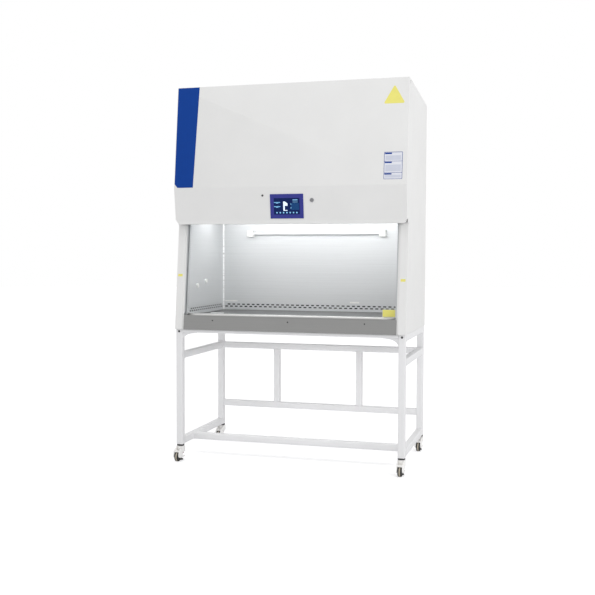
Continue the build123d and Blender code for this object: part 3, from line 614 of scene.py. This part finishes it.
# ---------------------------------------------------------------- operators
class FinishNodes(bpy.types.Operator):
    """Mixes the finishes and gives every solid of the model its own"""
    bl_idname = "cabinet.finish_nodes"
    bl_label = "Finish the solids"

    def execute(self, context):
        mix_finishes(context.scene.cabinet_colours)
        edge = context.scene.cabinet_sizes.sheet_edge
        for finish, names in NODE_FINISH.items():
            for name in names:
                piece = nodes[name]
                if not piece.material_slots:
                    piece.data.materials.append(finishes[finish])
                for slot in piece.material_slots:
                    slot.material = finishes[finish]
                if name in EASED:
                    ease_edges(piece, edge * EASED[name])
        return {"FINISHED"}


def tube_run(matrix, length, sizes):
    return pipe(matrix, TUBE_HALF, sizes.tube_corner, TUBE_WALL, length)


def rail(axis, start, stop, u, v, sizes):
    """Tube between two faces, with a weld bead round each end."""
    matrix = {"X": lay((start, u, v), RIGHT, BACK), "Y": lay((u, start, v), BACK, RIGHT),
              "Z": upright(u, v, start)}[axis]
    length = stop - start
    seat = 0.6 * sizes.bead
    ends = [bead(shifted(matrix, w=w), TUBE_HALF, TUBE_HALF, sizes.tube_corner, sizes.bead)
            for w in (seat, length - seat)]
    return [tube_run(matrix, length, sizes), *ends]


def gusset(corner, along, reach, drop):
    """Brace under a rail: a plate whose free edge is a quarter ellipse, reach by drop less a rim."""
    rim, thick = 3 * MM, 4 * MM
    turn = np.linspace(0, pi / 2, 17)
    hollow = np.stack([reach - (reach - rim) * np.sin(turn), (drop - rim) * np.cos(turn) - drop], 1)
    outline = np.vstack([[(0, 0), (reach, 0)], hollow, [(0, -drop)]])
    place = shifted(lay(corner, np.cross(along, UP), along), w=-thick / 2)
    return loft([put(place, raised(outline, height)) for height in (0.0, thick)])


class MakeStand(bpy.types.Operator):
    """Welded stand of square tube with rounded corners and weld beads"""
    bl_idname = "cabinet.make_stand"
    bl_label = "Make the stand"

    def execute(self, context):
        sizes = context.scene.cabinet_sizes
        coat = finishes["stand_coat"]
        half = TUBE_HALF
        posts = [tube_run(upright(x, y, POST_LOW), STAND_TOP - POST_LOW, sizes) for x, y in POSTS.values()]
        piece = object_from("stand_post_tubes", posts, coat, "cabinet")
        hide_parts("stand_posts")

        front_y, rear_y = POST_FRONT + half, POST_REAR - half
        inner_x = POST_X - half
        upper = []
        for side in (-1, 1):
            upper += rail("Y", front_y, rear_y, side * POST_X, TOP_RAIL, sizes)
        upper += rail("X", -inner_x, inner_x, POST_REAR, TOP_RAIL, sizes)
        slim_half = 10 * MM
        slim = lay((-inner_x, POST_FRONT, STAND_TOP - slim_half), RIGHT, BACK)
        outside = rounded(half, slim_half, 3 * MM)
        bore = rounded(half - TUBE_WALL, slim_half - TUBE_WALL, 1 * MM)
        upper.append(hoop([put(slim, raised(outline, reach)) for outline, reach in (
            (outside, 0.0), (outside, 2 * inner_x), (bore, 2 * inner_x), (bore, 0.0))]))
        for side in (-1, 1):
            corner = (side * inner_x, POST_FRONT - slim_half, TOP_RAIL)
            upper.append(gusset(corner, (-side, 0, 0), 90 * MM, 45 * MM))
        for side in (-1, 1):
            upper.append(gusset((side * POST_X, front_y, TOP_RAIL - half), BACK, 60 * MM, 32 * MM))
        piece = object_from("stand_top_tubes", upper, coat, "cabinet")
        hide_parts("stand_top_frame")

        mid = []
        for side in (-1, 1):
            mid += rail("Y", front_y, rear_y, side * POST_X, MIDDLE_RAIL, sizes)
            mid.append(gusset((side * POST_X, front_y, MIDDLE_RAIL - half), BACK, 60 * MM, 32 * MM))
        mid += rail("X", -inner_x, inner_x, POST_REAR, MIDDLE_RAIL, sizes)
        piece = object_from("stand_middle_tubes", mid, coat, "cabinet")
        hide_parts("stand_mid_rails")

        lower = []
        for side in (-1, 1):
            lower += rail("Y", front_y, rear_y, side * POST_X, LOW_RAIL, sizes)
            lower += rail("Z", REAR_LOW_RAIL + half, MIDDLE_RAIL - half, side * STRUT_X, POST_REAR, sizes)
        lower += rail("X", -inner_x, inner_x, POST_REAR, REAR_LOW_RAIL, sizes)
        lower += rail("X", -inner_x, inner_x, CROSSBAR_Y, LOW_RAIL, sizes)
        piece = object_from("stand_lower_tubes", lower, coat, "cabinet")
        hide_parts("stand_lower_rails")
        return {"FINISHED"}


class MakeFasteners(bpy.types.Operator):
    """Domed bolts on the posts, dark collars over the casters, and screws on apron and panels"""
    bl_idname = "cabinet.make_fasteners"
    bl_label = "Make the fasteners"

    def execute(self, context):
        sizes = context.scene.cabinet_sizes
        heads, collars = [], []
        for x, y in POSTS.values():
            bolt = lay((x, y - TUBE_HALF, BOLT_HEIGHT), FRONT, RIGHT)
            head = np.vstack([[(6.5 * MM, 0.0)], dome(6.0 * MM, 2.6 * MM) + (0.0, 0.4 * MM)])
            heads.append(turned(bolt, head, 24))
            collar = upright(x, y, COLLAR_LOW)
            profile = [(19, 0), (21.6, 0.4), (22.4, 1.2), (22.4, 7.8), (21.6, 8.9), (19, 9.4)]
            collars.append(turned(collar, np.array(profile) * MM, 40))
            stem = upright(x, y, STEM_LOW)
            collars.append(turned(stem, np.array([(6, 0), (6, 10)]) * MM, 24))
        piece = object_from("post_bolts_and_collars", heads + collars, finishes["black_finish"], "cabinet")
        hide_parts("stand_fasteners")
        apron = [screw_head(on_pillar(x * MM, 857 * MM, 2 * MM), sizes.screw) for x in (-461, 6, 463)]
        object_from("apron_screws", apron, finishes["black_finish"], "cabinet")
        spots = [(x, z) for x in np.linspace(-REAR_SCREW_X, REAR_SCREW_X, 7) for z in REAR_SCREW_ENDS]
        spots += [(x, z) for x in (-REAR_SCREW_X, REAR_SCREW_X) for z in REAR_SCREW_HEIGHTS]
        panel = [flush_screw(lay((x, REAR_FACE, z), BACK, RIGHT), sizes.screw) for x, z in spots]
        object_from("panel_screws", panel, finishes["bright_chrome"], "cabinet")
        bolts = []
        washer = np.array([(9, 0), (9, 1.2), (8.6, 1.5)]) * MM
        hexagon = np.array([(6.6, 0), (6.6, 4.2), (5.6, 5.0)]) * MM
        for x in (-SPIGOT_BOLT, SPIGOT_BOLT):
            for y in (-SPIGOT_BOLT, SPIGOT_BOLT):
                place = upright(x * MM, SPIGOT_Y + y * MM, SPIGOT_FLANGE)
                bolts += [turned(place, washer, 24), turned(shifted(place, w=washer[-1, 1]), hexagon, 6)]
        object_from("collar_bolts", bolts, finishes["shaft_steel"], "cabinet")
        return {"FINISHED"}


def wheel_profile(radius, half, bore):
    """Half section of a tyre: flat tread with a shallow groove, round shoulders, dished sides, a hub.

    At angle t a shoulder stands at radius less shoulder (1 - cos t), and half less shoulder (1 - sin t).
    """
    shoulder = 5 * MM
    turn = np.linspace(0, pi / 2, 5)
    round_edge = np.stack([radius - shoulder * (1 - np.cos(turn)), half - shoulder * (1 - np.sin(turn))], 1)
    dish = half - 2.5 * MM
    right = np.vstack([[(radius - MM, 4.7 * MM), (radius, 4.9 * MM)], round_edge,
                       [(20 * MM, half), (18 * MM, dish), (12 * MM, dish), (11 * MM, half),
                        (bore, half - 2 * MM)]])
    return np.vstack([right[::-1] * (1, -1), right])


def hood_shells(x, y):
    """Caster hood: two rounded cheeks slotted for the dial, an arch, a round crown and an axle.

    A cheek is its outline shrunk towards its middle at five depths. The arch is a box section carried at
    angle t round the axle, from 32 to 38 mm away from it.
    """
    side = np.array([(-71, 34), (-70, 46), (-66, 58), (-58, 68), (-44, 75), (-30, 80), (-21, 85), (-14, 87.6),
                     (14, 87.6), (20, 85), (21, 78), (21, 51), (-15, 51), (-15, 25.5), (21, 25.5), (21, 21.5),
                     (17, 19.7), (-24, 19.7), (-36, 20.2), (-50, 21.5), (-62, 24)]) * MM
    shells = []
    middle = side.mean(0)
    for sign in (-1, 1):
        rings = []
        for offset, shrink in ((14, 0.98), (14.8, 1.0), (19.6, 1.0), (20.7, 0.99), (21.4, 0.965)):
            ring = middle + (side - middle) * shrink
            across = np.full(len(ring), x + sign * offset * MM)
            rings.append(np.column_stack([across, ring[:, 0] + y, ring[:, 1]]))
        shells.append(loft(rings))
    turn = np.linspace(radians(20), radians(118), 12)
    reach = np.array([32, 32, 38, 38]) * MM
    across = np.array([-15, 15, 15, -15]) * MM
    rings = np.stack([np.broadcast_to(x + across, (len(turn), 4)),
                      y - AXLE_TRAIL + reach * np.cos(turn)[:, None],
                      AXLE_HEIGHT + reach * np.sin(turn)[:, None]], -1)
    shells.append(loft(rings))
    crown = np.array([(20, 2), (20.6, 6), (20.6, 35), (20, 37), (18, 37.8), (10, 38)]) * MM
    shells.append(turned(upright(x, y, 50 * MM), crown, 40))
    axle = lay((x - 21 * MM, y - AXLE_TRAIL, AXLE_HEIGHT), RIGHT, BACK)
    pin = np.array([(3, -1.0), (6.5, -0.6), (7, 0.4), (7, 41.6), (6.5, 42.6), (3, 43)]) * MM
    shells.append(turned(axle, pin, 24))
    return shells


class MakeCasters(bpy.types.Operator):
    """Levelling casters: enamelled hood, grooved wheel, and a foot with its ribbed dial"""
    bl_idname = "cabinet.make_casters"
    bl_label = "Make the casters"

    def execute(self, context):
        ribs = context.scene.cabinet_sizes.dial_ribs
        for corner, (x, y) in POSTS.items():
            hood = object_from("caster_hood_" + corner, hood_shells(x, y), finishes["caster_enamel"],
                               "caster_" + corner)
            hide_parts("caster_housing_" + corner)
            axle = lay((x, y - AXLE_TRAIL, AXLE_HEIGHT), RIGHT, BACK)
            tyre = turned(axle, wheel_profile(28 * MM, 12 * MM, 5 * MM), 56)
            wheel = object_from("wheel_" + corner + "_tyre", [tyre], finishes["tyre_nylon"], "wheel_" + corner)
            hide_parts("caster_wheel_" + corner)
            band = np.array([(26.0, -4.5), (27.8, -4.3), (27.8, 4.3), (26.0, 4.5)]) * MM
            object_from("wheel_" + corner + "_tread", [turned(axle, band, 56)], finishes["tread_nylon"],
                        "wheel_" + corner)
            up = upright(x, y, 0)
            pad = np.array([(14, 0), (15.4, 0.5), (16, 1.6), (16, 5.4), (15.2, 6.6), (13, 7.4), (8, 8)]) * MM
            pitch = 1.75
            heights = np.arange(8, 72, pitch / 2)
            radii = np.where(np.arange(len(heights)) % 2, 5.2, 6.0)
            thread = np.column_stack([radii, heights]) * MM
            foot = object_from("foot_" + corner + "_pad", [turned(up, pad, 40), turned(up, thread, 20)],
                               finishes["rubber"], "foot_" + corner)
            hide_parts("levelling_foot_" + corner)
            sides = ribs * 6
            angle = np.arange(sides) * (2 * pi / sides)
            rings = []
            for height, share in ((38.5, 0.93), (39.5, 1.0), (46.5, 1.0), (47.5, 0.93)):
                radius = 17.5 * MM * share * (1 - 0.045 * (0.5 + 0.5 * np.cos(ribs * angle)) ** 3)
                rings.append(np.column_stack([x + radius * np.cos(angle), y + radius * np.sin(angle),
                                              np.full(sides, height * MM)]))
            object_from("foot_" + corner + "_dial", [loft(rings)], finishes["dial_moulding"], "foot_" + corner)
        return {"FINISHED"}


class MakeCoverTrim(bpy.types.Operator):
    """Plain band, blank labels and the small fittings on the cover"""
    bl_idname = "cabinet.make_cover_trim"
    bl_label = "Trim the cover"

    def execute(self, context):
        film = context.scene.cabinet_sizes.film
        top_z, low_z = 2.2485, COVER_BEND[1] + 2 * MM
        band = [(-0.6975, top_z), (-0.561, top_z), (-0.5795, low_z), (-0.678, low_z), (-0.6975, low_z + 0.022)]
        object_from("cover_band", [cover_films(band, film)], finishes["band_film"], "front_cover", smooth=False)
        centre = on_cover(*CARD_PLACE)
        tabs = [plate(shifted(centre, u=-0.028, v=v, w=1.8 * film), 20 * MM, 4 * MM, 1 * MM, 0.4 * film)
                for v in (0.0685, 0.0175, -0.0475)]
        object_from("cover_card_tabs", tabs, finishes["band_film"], "front_cover")
        object_from("cover_label_plain", [cover_films(self.round_triangle(), film)], finishes["label_film"],
                    "front_cover", smooth=False)

        lock = on_cover(KEY_PLACE[0], COVER_LOW[1] + KEY_PLACE[1] * PANEL_LEAN)
        surround = np.array([(13, 0), (13, 1), (12, 1.6), (10.8, 1.6)]) * MM
        object_from("key_surround", [turned(shifted(lock, w=0.1 * MM), surround, 40)], finishes["track_alloy"],
                    "front_cover")
        object_from("cover_card_edge", [plate(centre, 0.0525, 0.077, 0.003, film)], finishes["band_film"],
                    "front_cover")
        blocks = [plate(shifted(centre, v=v, w=film), 0.0500, half, 0.002, 0.6 * film)
                  for v, half in ((0.0495, 0.0245), (-0.0085, 0.0315), (-0.0585, 0.0165))]
        object_from("cover_card_fields", blocks, finishes["white_film"], "front_cover")
        inner = [plate(shifted(centre, v=v, w=1.6 * film), 0.0440, half, 0.002, 0.4 * film)
                 for v, half in ((0.0435, 0.0130), (-0.0145, 0.0190), (-0.0610, 0.0080))]
        object_from("cover_card_inner_fields", inner, finishes["grey_film"], "front_cover")
        return {"FINISHED"}

    def round_triangle(self):
        """Triangle with round corners: arcs of 6 mm about points nine tenths of the way to each corner."""
        triangle = np.array([(0.562, 2.106), (0.675, 2.106), (0.6185, 2.204)])
        middle = triangle.mean(0)
        spoke = triangle - middle
        turn = np.arctan2(spoke[:, 1], spoke[:, 0])[:, None] + np.linspace(-pi / 3, pi / 3, 5)
        arcs = (middle + 0.90 * spoke)[:, None, :] + 0.006 * np.stack([np.cos(turn), np.sin(turn)], -1)
        return arcs.reshape(-1, 2)


def screen_axes():
    """Middle of the touch screen's face, SCREEN_UP along the control panel and 2 mm out of it."""
    tilt = atan2(COVER_LOW[0] - COVER_BEND[0], COVER_BEND[1] - COVER_LOW[1])
    return shifted(on_cover(0.0, COVER_LOW[1] + SCREEN_UP * cos(tilt)), w=2 * MM)


class MakeScreen(bpy.types.Operator):
    """Generic shapes of the touch screen: a row of keys, panels and a cabinet outline, with no writing"""
    bl_idname = "cabinet.make_screen"
    bl_label = "Make the screen"

    def execute(self, context):
        face = screen_axes()
        lift = 0.15 * MM
        panels = [plate(shifted(face, u=-58 * MM, v=v * MM), 21 * MM, h * MM, 2 * MM, lift)
                  for v, h in ((21, 5), (-3, 5))]
        panels.append(plate(shifted(face, u=50 * MM, v=-2 * MM), 24 * MM, 20 * MM, 2 * MM, lift))
        object_from("screen_panels", panels, finishes["display_panel"], "front_cover")
        key = np.array([(4.6, 0), (4.6, 0.2), (4.2, 0.25)]) * MM
        marks = [turned(shifted(face, u=u * MM, v=-37 * MM), key, 24) for u in np.linspace(-60, 60, 7)]
        marks += [plate(shifted(face, u=-58 * MM, v=v * MM, w=lift), 19 * MM, 1.6 * MM, 0.6 * MM, lift)
                  for v in (23, -1)]
        marks += [plate(shifted(face, u=-58 * MM, v=v * MM, w=lift), 7 * MM, 1.4 * MM, 0.6 * MM, lift)
                  for v in (18, -6)]
        marks += [plate(shifted(face, u=u * MM, v=v * MM), 2.4 * MM, 5 * MM, 1.2 * MM, lift)
                  for u, v in ((26, 12), (26, -10))]
        marks += [plate(shifted(face, u=51 * MM, v=v * MM), 15 * MM, h * MM, 0.8 * MM, lift)
                  for v, h in ((36, 2.2), (24, 1.2))]
        object_from("screen_keys", marks, finishes["display_mark"], "front_cover")
        shape = np.array([(-21, 28), (-12, 28), (5, 17), (5, 3), (-12, 3), (-12, -22), (4, -22), (4, -26),
                          (-21, -26)]) * MM
        rings = [put(face, raised(shape, height)) for height in (0.0, 1.3 * lift)]
        object_from("screen_cabinet_shape", [loft(rings)], finishes["display_white"], "front_cover",
                    smooth=False)
        return {"FINISHED"}


class MakeChamberTrim(bpy.types.Operator):
    """Blank labels, edge vents, dark strips of painted shade behind the air slots, coves brightened as a
    painted highlight and small fittings round the work opening
    """
    bl_idname = "cabinet.make_chamber_trim"
    bl_label = "Trim the chamber"

    def execute(self, context):
        film = context.scene.cabinet_sizes.film
        labels = [plate(on_pillar(-0.678, 1.125), 14 * MM, 7.5 * MM, 1.5 * MM, film),
                  plate(on_pillar(0.678, 1.108), 14 * MM, 7.5 * MM, 1.5 * MM, film)]
        tag = lay((0.596, -0.314, 0.919), FRONT, RIGHT)
        labels.append(plate(shifted(tag, w=1.2 * MM), 36 * MM, 20 * MM, 2 * MM, film))
        object_from("plain_yellow_labels", labels, finishes["label_film"], "cabinet")
        holder = [plate(tag, 38 * MM, 22 * MM, 3 * MM, 1.2 * MM, 0.4 * MM),
                  plate(upright(0.596, -0.308, 0.896), 38 * MM, 6 * MM, 1 * MM, 1.2 * MM, 0.4 * MM)]
        object_from("label_holder", holder, finishes["sill_steel"], "cabinet")

        vents = []
        for side in (-1, 1):
            for z in np.arange(0.93, 1.42, 0.0125):
                y = on_pillar(0.0, z, 36 * MM)[1, 3]
                place = lay((side * INNER_HALF, y, z), (-side, 0, 0), UP)
                vents.append(plate(place, 0.0022, 0.0022, 0.0010, film))
        object_from("edge_vents", vents, finishes["gap_shadow"], "cabinet")

        # Dark strips 3 mm behind the two rows of air slots are painted shade: they make the slots read dark, as
        # the shadowed plenum behind them would.
        behind = 3 * MM
        strips = [(lay((0, INNER_REAR + behind, SLOT_HEIGHT), FRONT, RIGHT), 0.632)]
        strips += [(lay((side * (INNER_HALF + behind), 0, SLOT_HEIGHT), (-side, 0, 0), BACK), 0.292)
                   for side in (-1, 1)]
        shade_strips = [plate(place, half, 16 * MM, 1 * MM, 0.8 * MM) for place, half in strips]
        object_from("slot_baffles", shade_strips, finishes["painted_slot_shade"], "cabinet")
        # The coves are real coved corners, finished brighter than the walls as a painted highlight.
        object_from("chamber_coves", [self.cove(side) for side in (-1, 1)], finishes["cove_highlight_steel"], "cabinet")
        plates = [plate(lay((x, INNER_REAR, z), FRONT, RIGHT), u * MM, v * MM, corner * MM, film)
                  for x, z, u, v, corner in ((0.262, 0.944, 30, 5, 1.5), (-0.578, 0.942, 44, 4, 3))]
        object_from("rear_wall_plates", plates, finishes["white_moulding"], "cabinet")
        clip = upright(0.475, -0.290, DECK)
        object_from("grille_clip", [plate(clip, 8 * MM, 9 * MM, 2 * MM, 5 * MM, 1.5 * MM)],
                    finishes["black_moulding"], "cabinet")
        grip = lay((-0.520, -0.120, DECK), UP, (1, 0.1, 0))
        object_from("tray_grip", [plate(grip, 42 * MM, 9 * MM, 4 * MM, 4 * MM, 1.5 * MM)],
                    finishes["cove_highlight_steel"], "work_tray")
        return {"FINISHED"}

    def cove(self, side):
        """Hollow corner strip: the wall corner joined to the 8 mm quarter circle that bulges towards it,
        finished brighter than the walls as a painted highlight down the corner.
        """
        radius = 8 * MM
        turn = np.linspace(0, pi / 2, 9)
        x = INNER_HALF - radius + radius * np.sin(turn)
        y = INNER_REAR - radius + radius * np.cos(turn)
        section = np.vstack([np.stack([side * x, y], 1), [(side * INNER_HALF, INNER_REAR)]])
        return loft([raised(section, height) for height in COVE_SPAN])


class SetStage(bpy.types.Operator):
    """Pale floor, soft lamps, even surround and the camera"""
    bl_idname = "cabinet.set_stage"
    bl_label = "Set the stage"

    def execute(self, context):
        view = context.scene.cabinet_view
        scene = context.scene
        scene.view_settings.view_transform = "Standard"
        self.surround(scene, view.ambient)
        self.floor(scene)
        self.lamp(scene, "key_lamp", view.key, (3.0, 3.0), (4.6, -2.2, 3.4), (0.2, 0.0, 1.2))
        self.lamp(scene, "crown_lamp", view.crown, (2.4, 1.6), (-0.3, -1.7, 4.4), (0.0, -0.3, 1.6))
        self.lamp(scene, "chamber_lamp", view.chamber, (1.26, 0.30), (0.0, 0.04, 1.49), (0.0, 0.14, 1.0))
        self.lamp(scene, "stand_lamp", view.stand, (1.15, 0.16), (0.0, -0.30, 0.45), (0.0, 0.40, 0.45))
        self.camera(scene, view)
        return {"FINISHED"}

    def surround(self, scene, ambient):
        """Even light at the ambient level from all round, white to the camera, in glass and in shine."""
        world = bpy.data.worlds.new("surround")
        scene.world = world
        world.use_nodes = True
        tree = world.node_tree
        ground = tree.nodes["Background"]
        ground.inputs["Color"].default_value = (1.0, 1.0, 1.0, 1.0)
        path = tree.nodes.new("ShaderNodeLightPath")
        white = path.outputs["Is Camera Ray"]
        for kind in ("Is Transmission Ray", "Is Glossy Ray"):
            either = tree.nodes.new("ShaderNodeMath")
            either.operation = "MAXIMUM"
            tree.links.new(white, either.inputs[0])
            tree.links.new(path.outputs[kind], either.inputs[1])
            white = either.outputs["Value"]
        level = tree.nodes.new("ShaderNodeMapRange")
        level.inputs["To Min"].default_value = ambient
        level.inputs["To Max"].default_value = 1.0
        tree.links.new(white, level.inputs["Value"])
        tree.links.new(level.outputs["Result"], ground.inputs["Strength"])

    def floor(self, scene):
        """A disc 60 m across; to the camera it also glows a little, so that only the shadow stays grey."""
        sides, reach = 64, 30.0
        turn = np.arange(sides) * (2 * pi / sides)
        rim = np.column_stack([reach * np.cos(turn), reach * np.sin(turn), np.zeros(sides)])
        mesh = bpy.data.meshes.new("floor")
        mesh.from_pydata(rim.tolist(), [], [list(range(sides))])
        floor = bpy.data.objects.new("floor", mesh)
        scene.collection.objects.link(floor)
        material = bpy.data.materials.new("floor_vinyl")
        material.use_nodes = True
        tree = material.node_tree
        shader = tree.nodes["Principled BSDF"]
        shader.inputs["Roughness"].default_value = 0.9
        shader.inputs["Specular IOR Level"].default_value = 0.1
        shader.inputs["Base Color"].default_value = (0.84, 0.84, 0.85, 1.0)
        path = tree.nodes.new("ShaderNodeLightPath")
        glow = tree.nodes.new("ShaderNodeEmission")
        lift = tree.nodes.new("ShaderNodeMath")
        lift.operation = "MULTIPLY"
        lift.inputs[1].default_value = 0.42
        tree.links.new(path.outputs["Is Camera Ray"], lift.inputs[0])
        tree.links.new(lift.outputs["Value"], glow.inputs["Strength"])
        both = tree.nodes.new("ShaderNodeAddShader")
        tree.links.new(shader.outputs["BSDF"], both.inputs[0])
        tree.links.new(glow.outputs["Emission"], both.inputs[1])
        tree.links.new(both.outputs["Shader"], tree.nodes["Material Output"].inputs["Surface"])
        mesh.materials.append(material)

    def lamp(self, scene, name, power, size, place, aim):
        data = bpy.data.lights.new(name, "AREA")
        data.energy = power
        data.shape = "RECTANGLE"
        data.size, data.size_y = size
        lamp = bpy.data.objects.new(name, data)
        scene.collection.objects.link(lamp)
        away = np.array(place) - np.array(aim)
        lamp.matrix_world = Matrix(lay(place, away, RIGHT).tolist())
        lamp.visible_camera = False

    def camera(self, scene, view):
        data = bpy.data.cameras.new("camera")
        sensor = 36.0
        data.sensor_width = sensor
        data.lens = sensor * view.lens
        data.clip_end = 200.0
        camera = bpy.data.objects.new("camera", data)
        scene.collection.objects.link(camera)
        yaw, pitch, roll = view.yaw, view.pitch, view.roll
        ahead = np.array([-sin(yaw) * cos(pitch), cos(yaw) * cos(pitch), sin(pitch)])
        right = np.array([cos(yaw), sin(yaw), 0.0])
        up = np.cross(right, ahead)
        matrix = np.eye(4)
        matrix[:3, 0] = cos(roll) * right + sin(roll) * up
        matrix[:3, 1] = cos(roll) * up - sin(roll) * right
        matrix[:3, 2] = -ahead
        matrix[:3, 3] = view.position
        camera.matrix_world = Matrix(matrix.tolist())
        scene.camera = camera


class CabinetPanel(bpy.types.Panel):
    """Lists the cabinet's steps and settings"""
    bl_idname = "VIEW3D_PT_cabinet"
    bl_label = "Safety cabinet"
    bl_space_type = "VIEW_3D"
    bl_region_type = "UI"
    bl_category = "Cabinet"

    def draw(self, context):
        for operator in OPERATORS:
            self.layout.operator(operator.bl_idname)
        for group in ("cabinet_colours", "cabinet_sizes", "cabinet_view"):
            settings = getattr(context.scene, group)
            box = self.layout.box()
            for key in settings.__annotations__:
                box.prop(settings, key)


OPERATORS = (FinishNodes, MakeStand, MakeFasteners, MakeCasters, MakeCoverTrim, MakeScreen,
             MakeChamberTrim, SetStage)
GROUPS = {"cabinet_colours": CabinetColours, "cabinet_sizes": CabinetSizes, "cabinet_view": CabinetView}


def register():
    for group, kind in GROUPS.items():
        bpy.utils.register_class(kind)
        setattr(bpy.types.Scene, group, PointerProperty(type=kind))
    for kind in (*OPERATORS, CabinetPanel):
        bpy.utils.register_class(kind)


def unregister():
    for kind in (CabinetPanel, *reversed(OPERATORS)):
        bpy.utils.unregister_class(kind)
    for group, kind in reversed(GROUPS.items()):
        delattr(bpy.types.Scene, group)
        bpy.utils.unregister_class(kind)


def main():
    for start_object in [thing for thing in bpy.data.objects if thing.name in ("Cube", "Light", "Camera")]:
        bpy.data.objects.remove(start_object)
    register()
    for operator in OPERATORS:
        step = operator.bl_idname.split(".")[1]
        getattr(bpy.ops.cabinet, step)()


if __name__ == "__main__":
    main()
